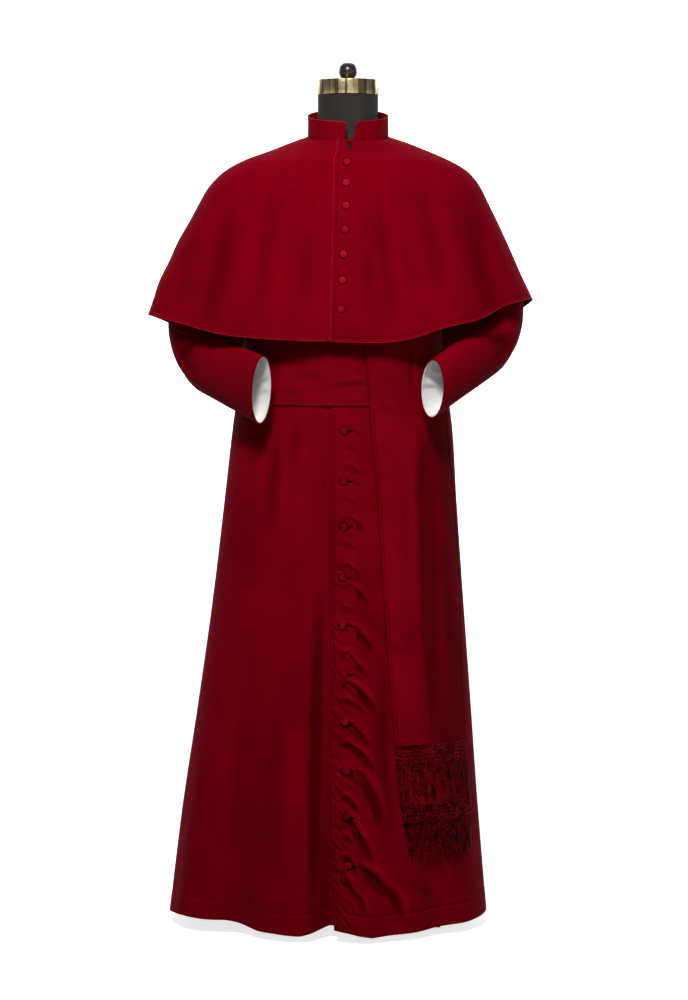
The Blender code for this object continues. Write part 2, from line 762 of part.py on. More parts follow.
def sash_columns():
    """The turns of every column of the body's panels, which the sash's own columns follow."""
    front_right = columns_between(-90.0, UNDERLAP, RIGHT_FRONT_FOLDS)
    front_left = columns_between(0.0, 90.0, LEFT_FRONT_FOLDS, LIFT_LIMITS)
    backs = [
        columns_between(-180.0, -90.0, RIGHT_BACK_FOLDS)[1:],
        columns_between(90.0, 180.0, LEFT_BACK_FOLDS)[1:],
    ]
    edge = closing_turn(SASH_LOW)
    before = front_right[front_right < edge - LEAST_STEP]
    return np.concatenate([backs[0][:-1], before, [edge, edge / 2], front_left, backs[1]])


def sash_out(turn):
    """How far the sash's middle lies out from the body: over the closing it clears both fronts."""
    edge = closing_turn(SASH_LOW)
    over = ease((turn - edge + 8.0) / 7.0) * (1.0 - ease((turn - UNDERLAP) / (LIFT_END - UNDERLAP)))
    return SASH_EASE + LAYER + FRONT_LIFT * over


def make_sash():
    shares = np.arange(SASH_STEPS + 1) / SASH_STEPS
    turn, share = np.meshgrid(sash_columns(), shares)
    top = straight_column(SASH_TOP, "turn", "z", turn)
    z = SASH_LOW + (top - SASH_LOW) * share
    points, normals = grid_of(body(()), turn, z)
    wall("sash_band", points, normals, sash_out(turn), "crimson_silk", closed=True)


def fall_turn(share, z):
    """The turn at a share of a fall's width, from its edge by the closing to its outer edge."""
    edges = []
    for column in ("left_x", "right_x"):
        x = smooth_column(FALL_EDGES, "z", column, z)
        edges.append(np.degrees(np.arcsin(x / smooth_column(BODY, "z", "left", z))))
    return edges[0] + (edges[1] - edges[0]) * share


def fall_shares():
    """Shares of a fall's width at which the sash below it bends, so that the two stay parallel."""
    low, high = fall_turn(0.0, SASH_HIGH), fall_turn(1.0, SASH_HIGH)
    inner = [turn for turn in sash_columns() if low + 4.0 < turn < high - 4.0]
    return np.array([0.0] + [(turn - low) / (high - low) for turn in inner] + [1.0])


def fall_grid(end):
    """Points of a fall: over the sash its columns keep the sash's turns, and lower down its own."""
    rows = np.concatenate([np.linspace(FRONT_FALL_END, SASH_LOW, FALL_STEPS + 1)[:-1], sash_rows()])
    if end < FRONT_FALL_END:
        rows = np.concatenate([[end], rows])
    share, z = np.meshgrid(fall_shares(), rows)
    own = fall_turn(share, z)
    over_sash = fall_turn(share, np.full_like(z, SASH_HIGH))
    over_sash[:, [0, -1]] = own[:, [0, -1]]
    held = ease((z - (SASH_LOW - 0.20)) / 0.20)
    return grid_of(body(()), own * (1.0 - held) + over_sash * held, z)


FALLS = (
    ("front", 3.25, FRONT_FALL_END, FRONT_FRINGE_END),
    ("back", 2.05, BACK_FALL_END, BACK_FRINGE_END),
)


def make_falls():
    for name, layer, end, _ in FALLS:
        points, normals = fall_grid(end)
        wall(f"fall_{name}", points, normals, SASH_EASE + layer * LAYER, "crimson_silk")


def make_fringes():
    """Each fringe is a narrow strip under a fall's edge with strands drawn down out of it."""
    for name, layer, fall_end, end in FALLS:
        bm = bmesh.new()
        middle = SASH_EASE + layer * LAYER
        low, high = middle - 0.0010, middle + 0.0010
        top = fall_end - SEAM
        foot = top - FRINGE_STRIP
        pitch = 1.0 / FRINGE_STRANDS
        gap = pitch * (1.0 - STRAND_SHARE) / 2.0
        marks = []
        for k in range(FRINGE_STRANDS):
            marks += [k * pitch + gap, (k + 1) * pitch - gap]
        shares = np.array([0.0] + marks + [1.0])

        def place(share, z, out):
            points, normals = grid_of(body(()), fall_turn(share, z), z)
            return points + normals * out

        def row(z, out):
            return [bm.verts.new(place(share, np.float64(z), out)) for share in shares]

        upper, lower = (row(top, low), row(top, high)), (row(foot, low), row(foot, high))
        for j in range(len(shares) - 1):
            for side in (0, 1):
                bm.faces.new((upper[side][j], lower[side][j], lower[side][j + 1], upper[side][j + 1]))
            bm.faces.new((upper[0][j], upper[0][j + 1], upper[1][j + 1], upper[1][j]))
            if j % 2 == 0:
                bm.faces.new((lower[0][j], lower[0][j + 1], lower[1][j + 1], lower[1][j]))
        for j in (0, len(shares) - 1):
            bm.faces.new((upper[0][j], lower[0][j], lower[1][j], upper[1][j]))
        for k in range(FRINGE_STRANDS):
            j = 2 * k + 1
            ring = [lower[0][j], lower[0][j + 1], lower[1][j + 1], lower[1][j]]
            centre = (shares[j] + shares[j + 1]) / 2.0
            half = (shares[j + 1] - shares[j]) / 2.0
            for step in range(1, STRAND_RINGS + 1):
                down = step / STRAND_RINGS
                z = np.float64(foot + (end - foot) * down + 0.004 * math.sin(2.3 * k) * down)
                size = 1.0 - STRAND_TAPER * down**2
                sway = STRAND_SWAY * math.sin(1.7 * k + 2.0 * down) * down
                corners = ((-half, low), (half, low), (half, high), (-half, high))
                new = []
                for across, out in corners:
                    share = centre + across * size + sway
                    new.append(bm.verts.new(place(share, z, middle + (out - middle) * size)))
                for a in range(4):
                    b = (a + 1) % 4
                    bm.faces.new((ring[a], ring[b], new[b], new[a]))
                ring = new
            bm.faces.new(ring)
        add_object(f"fringe_{name}", mesh_from(bm, f"fringe_{name}"), "fringe_silk")


def frame_on(surface, u, v, out):
    """A placing matrix on a surface: its Z points out, its Y up along the cloth."""
    points, normals = grid_of(surface, np.array([[u]]), np.array([[v]]))
    ahead = Vector(normals[0, 0]).normalized()
    place = Vector(points[0, 0]) + ahead * out
    across = Vector((0.0, 0.0, 1.0)).cross(ahead).normalized()
    up = ahead.cross(across)
    turn = Matrix((across, up, ahead)).transposed()
    return Matrix.Translation(place) @ turn.to_4x4()


def cape_share(z):
    """The share of the cape's height at which its centre front reaches a height."""
    shares = np.linspace(0.0, 1.0, 400)
    return float(np.interp(z, cape(())(0.0 * shares, shares)[:, 2], shares))


def spot_turn(sections, spot):
    """The turn of a spot that lies beside the centre front."""
    return math.degrees(math.asin(spot.x / smooth_column(sections, "z", "right", spot.z)))


def make_buttons():
    mesh = turned_mesh("covered_button", BUTTON_PROFILE, BUTTON_SIDES)
    out = CLOTH / 2 + SEAM + 0.0002
    for number, spot in enumerate(FRONT_BUTTONS, 1):
        button = add_object(f"front_button_{number}", mesh, "crimson_silk")
        turn = spot_turn(BODY, spot)
        button.matrix_world = frame_on(body(LEFT_FRONT_FOLDS), turn, spot.z, out + FRONT_LIFT)
    for number, spot in enumerate(CAPE_BUTTONS, 1):
        button = add_object(f"cape_button_{number}", mesh, "crimson_silk")
        turn = spot_turn(CAPE, spot)
        button.matrix_world = frame_on(cape(CAPE_LEFT_FOLDS), turn, cape_share(spot.z), out + CAPE_LIFT)


def make_hook():
    bm = bmesh.new()
    bmesh.ops.create_cube(bm, size=1.0)
    bmesh.ops.scale(bm, vec=HOOK_SIZE, verts=bm.verts)
    bmesh.ops.translate(bm, vec=(0.0, 0.0, HOOK_SIZE[2] / 2), verts=bm.verts)
    upright = [edge for edge in bm.edges if abs(edge.verts[0].co.z - edge.verts[1].co.z) > 1e-5]
    bmesh.ops.bevel(bm, geom=upright, offset=0.0022, segments=3, profile=0.5, affect="EDGES")
    hook = add_object("collar_hook", mesh_from(bm, "collar_hook"), "black_steel")
    turn = math.degrees(math.asin(HOOK_X / smooth_column(CAPE, "z", "left", HOOK_Z)))
    out = CLOTH / 2 + 2.0 * SEAM + CAPE_LIFT
    hook.matrix_world = frame_on(cape(CAPE_LEFT_FOLDS), turn, cape_share(HOOK_Z), out)


def make_form():
    """The torso follows the cassock's body from inside, and carries it on its shoulders."""
    turns = np.linspace(-180.0, 180.0, FORM_SIDES + 1)[:-1]
    heights = np.array([level.z for level in FORM])
    turn, z = np.meshgrid(turns, heights)
    points, normals = grid_of(body(()), turn, z)
    inset = np.array([level.inset for level in FORM])[:, None, None]
    rings = list(points - normals * inset)
    rings[0][:, 2] = FORM[0].z
    angle = np.radians(turns)
    for ring in NECK_RINGS:
        y = -ring.radius * np.cos(angle)
        rings.append(np.stack([ring.radius * np.sin(angle), y, ring.z + ring.tilt * y], axis=-1))
    bm = bmesh.new()
    loops = [[bm.verts.new(point) for point in ring] for ring in rings]
    for low, high in zip(loops, loops[1:]):
        for k in range(FORM_SIDES):
            n = (k + 1) % FORM_SIDES
            bm.faces.new((low[k], low[n], high[n], high[k]))
    bm.faces.new(loops[0])
    bm.faces.new(loops[-1])
    add_object("form_torso", mesh_from(bm, "form_torso"), "form_cloth")


def knob_profile():
    """A ball whose foot and crown are cut flat."""
    rise = (KNOB_CROWN_CUT - KNOB_FOOT_CUT) / KNOB_STEPS
    angles = [math.radians(KNOB_FOOT_CUT + rise * k) for k in range(KNOB_STEPS + 1)]
    drop = KNOB_RADIUS * math.sin(angles[0])
    return [
        (KNOB_RADIUS * math.cos(angle), KNOB_FOOT - drop + KNOB_RADIUS * math.sin(angle))
        for angle in angles
    ]


def base_mesh():
    """The H of the base as one solid, its underside on the floor and its upper edges cut back."""
    outlines = []
    for z, cut in ((0.0, 0.0), (BASE_HEIGHT - BASE_BEVEL, 0.0), (BASE_HEIGHT, BASE_BEVEL)):
        outer, inner = BASE_HALF_WIDTH - cut, BASE_HALF_WIDTH - 2.0 * BAR_HALF + cut
        front, back, bar = BASE_FRONT + cut, BASE_BACK - cut, BAR_HALF - cut
        half = [(-inner, -bar), (-inner, front), (-outer, front), (-outer, -bar)]
        half += [(-outer, bar), (-outer, back), (-inner, back), (-inner, bar)]
        outlines.append([(x, y, z) for x, y in half + [(-x, y) for x, y in half[::-1]]])
    bm = bmesh.new()
    rings = [[bm.verts.new(place) for place in outline] for outline in outlines]
    for low, high in zip(rings[:-1], rings[1:]):
        for k, corner in enumerate(low):
            n = (k + 1) % len(low)
            bm.faces.new((corner, low[n], high[n], high[k]))
    for ring in (rings[0], rings[-1]):
        for corners in BASE_CAPS:
            bm.faces.new([ring[k] for k in corners])
    return mesh_from(bm, "stand_base")


def make_stand():
    pole = ((POLE_RADIUS, BASE_HEIGHT + SEAM), (POLE_RADIUS, FORM[0].z - SEAM))
    for name, profile, sides, finish in (
        ("neck_ring", NECK_RING_PROFILE, ROUND_SIDES, "brass"),
        ("neck_knob", knob_profile(), POLE_SIDES, "black_wood"),
        ("stand_pole", pole, POLE_SIDES, "black_steel"),
    ):
        add_object(name, turned_mesh(name, profile, sides), finish)
    add_object("stand_base", base_mesh(), "black_steel")


def main():
    clear_scene()
    make_form()
    make_stand()
    make_body()
    make_sleeves()
    make_collar()
    make_cape()
    make_sash()
    make_falls()
    make_fringes()
    make_buttons()
    make_hook()


main()
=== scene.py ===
"""Crimson cassock with a buttoned shoulder cape and a fringed sash, on a limbless dress form.

The cloth is laid out on the same named sizes as the solid model, in finer steps, and gets its creases,
hems, stitching, piping, buttonholes and knotted fringes here.
"""

import json
import math
from collections import namedtuple

import bmesh
import bpy
import numpy as np
from mathutils import Matrix, Vector

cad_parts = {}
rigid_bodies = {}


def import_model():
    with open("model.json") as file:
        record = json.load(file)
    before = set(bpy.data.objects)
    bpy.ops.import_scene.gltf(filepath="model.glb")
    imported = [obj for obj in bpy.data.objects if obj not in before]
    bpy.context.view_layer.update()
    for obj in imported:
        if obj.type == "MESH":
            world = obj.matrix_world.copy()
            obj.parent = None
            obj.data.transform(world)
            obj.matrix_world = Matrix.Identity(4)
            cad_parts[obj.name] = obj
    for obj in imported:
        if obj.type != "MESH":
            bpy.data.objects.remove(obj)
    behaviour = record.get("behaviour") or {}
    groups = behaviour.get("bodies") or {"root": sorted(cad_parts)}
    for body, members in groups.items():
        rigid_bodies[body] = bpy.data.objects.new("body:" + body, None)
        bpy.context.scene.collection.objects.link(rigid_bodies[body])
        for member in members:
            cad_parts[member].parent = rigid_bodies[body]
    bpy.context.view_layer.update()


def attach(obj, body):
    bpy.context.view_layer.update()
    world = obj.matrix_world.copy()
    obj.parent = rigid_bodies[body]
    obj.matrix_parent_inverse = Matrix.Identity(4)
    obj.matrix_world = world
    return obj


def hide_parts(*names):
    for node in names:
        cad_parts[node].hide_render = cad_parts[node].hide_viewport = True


def rows_of(kind, *rows):
    """A table whose rows all have the kind's named columns."""
    return tuple(kind(*row) for row in rows)


# ---------------------------------------------------------------- sizes shared with the solid model
CLOTH = 0.0018
LINING = 0.0012
SEAM = 0.0003
SEWN_GAP = 0.00004
LAYER = CLOTH + SEAM
HEM = 0.011
SASH_LOW = 0.935
SASH_HIGH = 1.074
ARMHOLE_LOW = 1.130
ARMHOLE_HIGH = 1.352
ARMHOLE_HALF_WIDTH = 30.0
NECK = 1.3955
NECK_TILT = 0.123
NECK_TILT_FROM, NECK_TILT_TO = 1.354, 1.392

# Half widths and half depths of the cassock's body at each height
Section = namedtuple("Section", "z right left front back")
BODY = rows_of(
    Section,
    (0.010, 0.322, 0.2500, 0.182, 0.176),
    (0.219, 0.2955, 0.2323, 0.168, 0.163),
    (0.400, 0.2675, 0.2193, 0.155, 0.150),
    (0.581, 0.2415, 0.2058, 0.144, 0.139),
    (0.761, 0.2195, 0.1930, 0.135, 0.129),
    (0.904, 0.2026, 0.1835, 0.128, 0.120),
    (0.990, 0.1900, 0.1710, 0.126, 0.116),
    (1.075, 0.1790, 0.1620, 0.127, 0.118),
    (1.130, 0.1770, 0.1680, 0.128, 0.121),
    (1.240, 0.1780, 0.1760, 0.124, 0.121),
    (1.290, 0.1770, 0.1770, 0.117, 0.115),
    (1.330, 0.1750, 0.1750, 0.108, 0.106),
    (1.352, 0.1680, 0.1680, 0.100, 0.097),
    (1.364, 0.1500, 0.1500, 0.094, 0.091),
    (1.379, 0.1210, 0.1210, 0.084, 0.083),
    (1.390, 0.0920, 0.0920, 0.074, 0.074),
    (1.3955, 0.0703, 0.0703, 0.0690, 0.0690),
    (1.4010, 0.0490, 0.0490, 0.0640, 0.0640),
)

# Folds of the skirt: the turn round the body of each fold's middle in degrees from the centre front, its
# half spread, how far its middle stands out at the hem, and the height at which it starts
Fold = namedtuple("Fold", "turn spread depth top")
RIGHT_FRONT_FOLDS = rows_of(
    Fold,
    (-64.0, 14.0, 0.006, 0.50),
    (-40.0, 15.0, -0.026, 0.55),
    (-17.5, 10.0, 0.008, 0.70),
    (-5.5, 8.0, -0.040, 0.56),
)
LEFT_FRONT_FOLDS = rows_of(
    Fold,
    (-9.0, 9.0, -0.014, 0.45),
    (7.0, 11.0, 0.012, 0.60),
    (42.0, 17.0, -0.014, 0.70),
)
RIGHT_BACK_FOLDS = rows_of(
    Fold,
    (-118.0, 15.0, -0.022, 0.78),
    (-136.0, 13.0, 0.012, 0.66),
    (-153.0, 14.0, -0.026, 0.84),
    (-170.0, 10.0, 0.012, 0.80),
)
LEFT_BACK_FOLDS = rows_of(
    Fold,
    (114.0, 14.0, -0.018, 0.70),
    (133.0, 13.0, 0.010, 0.74),
    (150.0, 14.0, -0.022, 0.80),
    (168.0, 12.0, 0.014, 0.86),
)
# Where the left front's free edge runs, by its distance from the centre front
Edge = namedtuple("Edge", "z x")
CLOSING_EDGE = rows_of(
    Edge,
    (0.010, -0.0230),
    (0.250, -0.0290),
    (0.500, -0.0314),
    (0.935, -0.0296),
    (1.3955, -0.0230),
)
# How far the right front reaches under the left one, where the left one comes back down, and its lift
UNDERLAP = 4.0
LIFT_END = 8.0
FRONT_LIFT = LAYER + 0.0004
# How much higher the hem hangs at each turn, and how far up that is felt
Hem = namedtuple("Hem", "turn rise")
HEM_RISE = rows_of(
    Hem,
    (-180.0, 0.0),
    (-90.0, 0.008),
    (-65.0, 0.016),
    (-45.0, 0.014),
    (-30.0, 0.004),
    (-15.0, 0.001),
    (-6.0, 0.012),
    (2.0, 0.006),
    (9.0, 0.0),
    (60.0, 0.008),
    (90.0, 0.012),
    (180.0, 0.0),
)
RISE_REACH = 0.30

# The cape's half widths and half depths at each height, from hem to neck
CAPE = rows_of(
    Section,
    (1.020, 0.364, 0.348, 0.157, 0.166),
    (1.090, 0.354, 0.334, 0.154, 0.161),
    (1.117, 0.345, 0.327, 0.152, 0.158),
    (1.150, 0.334, 0.311, 0.149, 0.154),
    (1.186, 0.316, 0.295, 0.146, 0.150),
    (1.221, 0.300, 0.279, 0.142, 0.145),
    (1.257, 0.279, 0.262, 0.137, 0.139),
    (1.292, 0.260, 0.245, 0.130, 0.131),
    (1.311, 0.249, 0.236, 0.125, 0.125),
    (1.328, 0.235, 0.225, 0.118, 0.118),
    (1.346, 0.214, 0.207, 0.110, 0.110),
    (1.364, 0.180, 0.175, 0.1030, 0.101),
    (1.3815, 0.131, 0.134, 0.0920, 0.091),
    (1.396, 0.093, 0.095, 0.0800, 0.080),
    (1.4025, 0.0742, 0.0742, 0.0732, 0.0732),
    (1.4110, 0.0530, 0.0530, 0.0640, 0.0640),
)
# The heights of its neck and of its folds' feet, how far its left half lies out over the right one, and
# how much taller its rows are at the hem than they would be if all were even
CAPE_NECK = 1.4025
CAPE_FOOT = 1.050
CAPE_LIFT = 1.5 * LAYER
CAPE_CROWDING = 1.80
CapeHem = namedtuple("CapeHem", "turn z")
CAPE_HEM = rows_of(
    CapeHem,
    (-180.0, 1.030),
    (-140.0, 1.032),
    (-114.0, 1.078),
    (-90.0, 1.0918),
    (-66.0, 1.0857),
    (-48.0, 1.0690),
    (-35.0, 1.0572),
    (-23.0, 1.0516),
    (-8.0, 1.0480),
    (18.0, 1.0516),
    (27.0, 1.0672),
    (44.0, 1.0867),
    (56.0, 1.1054),
    (90.0, 1.1177),
    (112.0, 1.098),
    (138.0, 1.028),
    (180.0, 1.026),
)
CAPE_RIGHT_FOLDS = rows_of(
    Fold,
    (-52.0, 15.0, -0.013, 1.35),
    (-76.0, 10.0, 0.006, 1.22),
    (-142.0, 16.0, -0.012, 1.34),
    (-165.0, 10.0, 0.006, 1.24),
)
CAPE_LEFT_FOLDS = rows_of(
    Fold,
    (23.0, 9.0, 0.007, 1.20),
    (56.0, 14.0, -0.012, 1.34),
    (140.0, 15.0, -0.011, 1.33),
    (162.0, 12.0, 0.006, 1.26),
)
CAPE_EDGE = (Edge(1.045, -0.0312), Edge(1.4025, -0.0226))
# How far the right half reaches under the left one, and where the left one comes back down, as turns
CAPE_UNDERLAP = 4.0
CAPE_LIFT_END = 9.0

# Sleeves: flattened tubes that bend forwards at the elbow, the centre of the cuff at the wrist
Sleeve = namedtuple("Sleeve", "name side shoulder elbow wrist bend cuff_half slant")
SLEEVES = (
    Sleeve(
        "right",
        side=-1,
        shoulder=(-0.195, 0.000, 1.330),
        elbow=(-0.308, 0.026, 1.030),
        wrist=(-0.1487, -0.150, 0.9630),
        bend=0.085,
        cuff_half=(0.0225, 0.058),
        slant=0.010,
    ),
    Sleeve(
        "left",
        side=1,
        shoulder=(0.185, -0.004, 1.330),
        elbow=(0.302, 0.018, 1.066),
        wrist=(0.1450, -0.150, 0.9650),
        bend=0.095,
        cuff_half=(0.026, 0.046),
        slant=0.020,
    ),
)
# The share of the upper arm at which the sleeve is free of the armhole, and half its thickness and width
ARM_START = 0.66
ARM_HALF = (0.035, 0.045)
# Places along the arm are counted as the solid's rings are: 0 where the arm leaves the armhole, 1 where
# the elbow starts to bend, 2 where the sleeve starts to narrow, 5 where the bend ends and 8 at the cuff
ELBOW_TAPER = 2.0
ELBOW_FROM, ELBOW_TO, ARM_END = 1.0, 5.0, 8.0
# Fine rows for each of the solid's steps: along the arm, from armhole to arm, and round the sleeve
ARM_FINE = 9
BLEND_FINE = 16
RING_FINE = 8
# The solid's steps from the armhole's head to its foot, and the steps at which the two seams run
ARMHOLE_STEPS = 7
FRONT_SEAM = 4
BACK_SEAM = 10
LINING_SETBACK = 0.0015

# Collar: its ends stand at these distances from the centre front, the right one's and the left one's
COLLAR_RADIUS = 0.0703
COLLAR_FOOT = 1.3988
COLLAR_TOP = 1.4405
COLLAR_TILT = 0.20
COLLAR_CORNER = 0.006
COLLAR_GAP_TOP = (-0.0035, 0.0150)
COLLAR_GAP_FOOT = (-0.0050, 0.0080)

# Sash: the height of its top edge, and the falls' edges by their distance from the centre front
SashTop = namedtuple("SashTop", "turn z")
SASH_TOP = rows_of(
    SashTop,
    (-180.0, SASH_HIGH),
    (-110.0, SASH_HIGH),
    (-90.0, 1.062),
    (-66.0, 1.040),
    (-45.0, 1.0205),
    (-30.0, 1.033),
    (-18.0, 1.048),
    (-4.0, 1.066),
    (10.0, SASH_HIGH),
    (180.0, SASH_HIGH),
)
SASH_EASE = 0.0006
FallEdge = namedtuple("FallEdge", "z left_x right_x")
FALL_EDGES = rows_of(
    FallEdge,
    (0.110, 0.1150, 0.2180),
    (0.232, 0.0900, 0.2140),
    (0.342, 0.0795, 0.2020),
    (0.580, 0.0615, 0.1920),
    (0.740, 0.0515, 0.1840),
    (0.938, 0.0355, 0.1660),
    (1.074, 0.0260, 0.1560),
)
# Each fall: how many layers of cloth out it lies, and the heights of its foot and of its fringe's ends
Fall = namedtuple("Fall", "name layers foot fringe_end")
FALLS = rows_of(
    Fall,
    ("front", 3.25, 0.342, 0.233),
    ("back", 2.05, 0.236, 0.134),
)

# Covered buttons, by where each one's middle is: its distance from the centre front and its height
BUTTON_RADIUS = 0.0066
Spot = namedtuple("Spot", "x z")
FRONT_BUTTONS = rows_of(
    Spot,
    (-0.0069, 0.8913),
    (-0.0077, 0.8037),
    (-0.0069, 0.7248),
    (-0.0095, 0.6362),
    (-0.0092, 0.5528),
    (-0.0067, 0.4677),
    (-0.0047, 0.3850),
    (-0.0026, 0.3008),
    (-0.0020, 0.2190),
    (0.0022, 0.1323),
)
CAPE_BUTTONS = rows_of(
    Spot,
    (-0.0018, 1.3549),
    (-0.0030, 1.3186),
    (-0.0035, 1.2800),
    (-0.0052, 1.2391),
    (-0.0078, 1.1963),
    (-0.0100, 1.1517),
    (-0.0121, 1.1020),
)

# The middle of the hook and bar at the neck of the cape
HOOK_Z = 1.3815
HOOK_X = 0.0020

# Dress form: how far its torso lies inside the cassock's body at each height, and its neck
FormLevel = namedtuple("FormLevel", "z inset")
FORM = rows_of(
    FormLevel,
    (0.800, 0.052),
    (0.840, 0.036),
    (0.900, 0.024),
    (1.000, 0.010),
    (1.100, 0.006),
    (1.200, 0.005),
    (1.290, 0.0045),
    (1.330, 0.0038),
    (1.352, 0.0032),
    (1.379, 0.0030),
    (1.388, 0.0030),
)
NeckRing = namedtuple("NeckRing", "radius z tilt")
NECK_RINGS = rows_of(
    NeckRing,
    (0.0640, 1.3895, 0.118),
    (0.0570, 1.3990, 0.118),
    (0.0532, 1.4130, 0.100),
    (0.0532, 1.4775, 0.0),
)
RING_RADIUS = 0.0545
RING_FOOT, RING_TOP = 1.4778, 1.5040
KNOB_RADIUS = 0.0165
KNOB_FOOT = 1.5043
# The knob's foot and crown are cut off at these latitudes of its ball
KNOB_FOOT_AT, KNOB_CROWN_AT = -64.0, 68.0

# The height of one row of the fine cloth, in metres: along most of it, beside the armhole and at the neck
ROW_STEP = 0.0042
ARMHOLE_STEP = 0.008
NECK_STEP = 0.003
# The width of one column, in degrees of turn: in front, towards the side and at the back
FRONT_TURN = 1.05
SIDE_TURN = 1.9
BACK_TURN = 1.7


# ---------------------------------------------------------------- shapes
def ease(share):
    """0 up to 0, 1 from 1, and a smooth rise between."""
    share = np.clip(share, 0.0, 1.0)
    return share * share * (3.0 - 2.0 * share)


def below(value, fading, gone):
    """1 up to where a thing starts fading, 0 from where it is gone, and a smooth fall between."""
    return 1.0 - ease((value - fading) / (gone - fading))


def unit(vector):
    return vector / np.linalg.norm(vector, axis=-1, keepdims=True)


def smooth_column(table, key, value, at):
    """Reads a column of a table at any key, along a smooth curve through its rows."""
    keys = np.array([getattr(row, key) for row in table])
    values = np.array([getattr(row, value) for row in table])
    slopes = np.gradient(values, keys)
    at = np.clip(at, keys[0], keys[-1])
    row = np.clip(np.searchsorted(keys, at, side="right") - 1, 0, len(keys) - 2)
    width = keys[row + 1] - keys[row]
    share = (at - keys[row]) / width
    rise = ease(share)
    start = share * (1.0 - share) ** 2 * slopes[row] * width
    end = share * share * (1.0 - share) * slopes[row + 1] * width
    return values[row] * (1.0 - rise) + values[row + 1] * rise + start - end


def straight_column(table, key, value, at):
    """Reads a column of a table at any key, along straight lines between its rows."""
    keys = [getattr(row, key) for row in table]
    return np.interp(at, keys, [getattr(row, value) for row in table])


def oval(sections, turn, z, folds, foot):
    """Points of a body of oval sections at a turn and height, with folds that grow towards its foot."""
    angle = np.radians(turn)
    across, forward = np.sin(angle), np.cos(angle)
    right, left, front, back = (smooth_column(sections, "z", half, z) for half in Section._fields[1:])
    side, depth = np.where(across > 0.0, left, right), np.where(forward > 0.0, front, back)
    out_x, out_y = across / side, -forward / depth
    length = np.hypot(out_x, out_y)
    fold = np.zeros(np.shape(turn + z))
    for row in folds:
        near = np.clip(np.abs(turn - row.turn) / row.spread, 0.0, 1.0)
        fold = fold + row.depth * 0.5 * (1.0 + np.cos(np.pi * near)) * ease((row.top - z) / (row.top - foot))
    x = side * across + fold * out_x / length
    y = -depth * forward + fold * out_y / length
    tilt = NECK_TILT * y * ease((z - NECK_TILT_FROM) / (NECK_TILT_TO - NECK_TILT_FROM))
    return np.stack([x, y, z + tilt], axis=-1)


def risen(turn, z):
    """The height of a skirt point once the hem's rise at this turn is added to it."""
    rise = straight_column(HEM_RISE, "turn", "rise", turn)
    return z + rise * np.clip(1.0 - (z - HEM) / RISE_REACH, 0.0, 1.0)


def body(folds):
    """The cassock's body as a surface function of turn and height."""
    return lambda turn, z: oval(BODY, turn, risen(turn, z), folds, HEM)


def cape(folds):
    """The cape as a surface function of turn and share, from 0 at the hem to 1 at the neck."""

    def surface(turn, share):
        low = smooth_column(CAPE_HEM, "turn", "z", turn)
        z = low + (CAPE_NECK - low) * share * (CAPE_CROWDING - (CAPE_CROWDING - 1.0) * share)
        return oval(CAPE, turn, z, folds, CAPE_FOOT)

    return surface


def grid_of(surface, u, v):
    """A grid of points on a surface and their outward normals."""
    du, dv = 0.05, 0.0004
    points = surface(u, v)
    along = surface(u + du, v) - surface(u - du, v)
    up = surface(u, v + dv) - surface(u, v - dv)
    return points, unit(np.cross(along, up))


def draw_in(points, first=True, last=True):
    """Moves a grid's side edges in a little, so that two sewn panels meet and don't share a face."""
    points = points.copy()
    for wanted, edge, inner in ((first, 0, 1), (last, -1, -2)):
        if wanted:
            points[:, edge] += unit(points[:, inner] - points[:, edge]) * SEWN_GAP / 2
    return points


def armhole_width(z):
    """Half the armhole's width at a height, in degrees of turn."""
    share = np.clip((z - ARMHOLE_LOW) / (ARMHOLE_HIGH - ARMHOLE_LOW), 0.0, 1.0)
    return ARMHOLE_HALF_WIDTH * np.abs(np.sin(np.pi * share)) ** 0.8


def turn_at(sections, x, z, side="right"):
    """The turn of a place in front, by its distance from the centre front and its height."""
    return np.degrees(np.arcsin(x / smooth_column(sections, "z", side, z)))


def cape_height(share):
    """How high the cape's centre front is at a share of its height."""
    return cape(())(0.0 * share, share)[..., 2]


def closing_turn(z):
    """The turn of the left front's free edge at a height."""
    return turn_at(BODY, straight_column(CLOSING_EDGE, "z", "x", z), z)


def steps_between(start, end, step):
    """Evenly spaced values from start to end, about a step apart, both ends included."""
    return np.linspace(start, end, max(2, int(math.ceil(abs(end - start) / step))) + 1)


def between_edges(length, step):
    """Shares of a length from one stitched edge to the other, closest together beside both."""
    close = np.array(EDGE_PLACES) / length
    return np.concatenate([close, steps_between(close[-1], 1.0 - close[-1], step)[1:-1], 1.0 - close[::-1]])


def body_rows():
    """Heights of the rows of the body's panels, close together at the turned hem and at the neck."""
    rows = np.concatenate(
        [
            steps_between(HEM, ARMHOLE_LOW, ROW_STEP)[:-1],
            steps_between(ARMHOLE_LOW, ARMHOLE_HIGH, ARMHOLE_STEP)[:-1],
            steps_between(ARMHOLE_HIGH, NECK, NECK_STEP),
        ]
    )
    close = HEM + np.array(EDGE_PLACES + (HEM_WIDTH - HEM_LINE, HEM_WIDTH, HEM_WIDTH + HEM_LINE))
    rest = rows[np.min(np.abs(rows[:, None] - close[None, :]), axis=1) > CLOSEST_ROWS]
    return np.sort(np.concatenate([close, rest]))


def panel_turns(start, end, fine_to):
    """Turns of a front panel's columns: fine between 0 and fine_to degrees, wider towards the side."""
    near = steps_between(start, fine_to, FRONT_TURN)[:-1]
    return np.concatenate([near, steps_between(fine_to, end, SIDE_TURN)])


def panel_grid(turns, rows):
    """Columns and rows of a panel whose side edge, at +-90 degrees, gives way to the armhole."""
    turn, z = np.meshgrid(turns, rows)
    start, end = turns[0], turns[-1]
    centre, side = (start, end) if abs(abs(end) - 90.0) < 1e-6 else (end, start)
    short = armhole_width(z) * np.sign(centre - side)
    return side + short + (turn - side) * (centre - side - short) / (centre - side), z


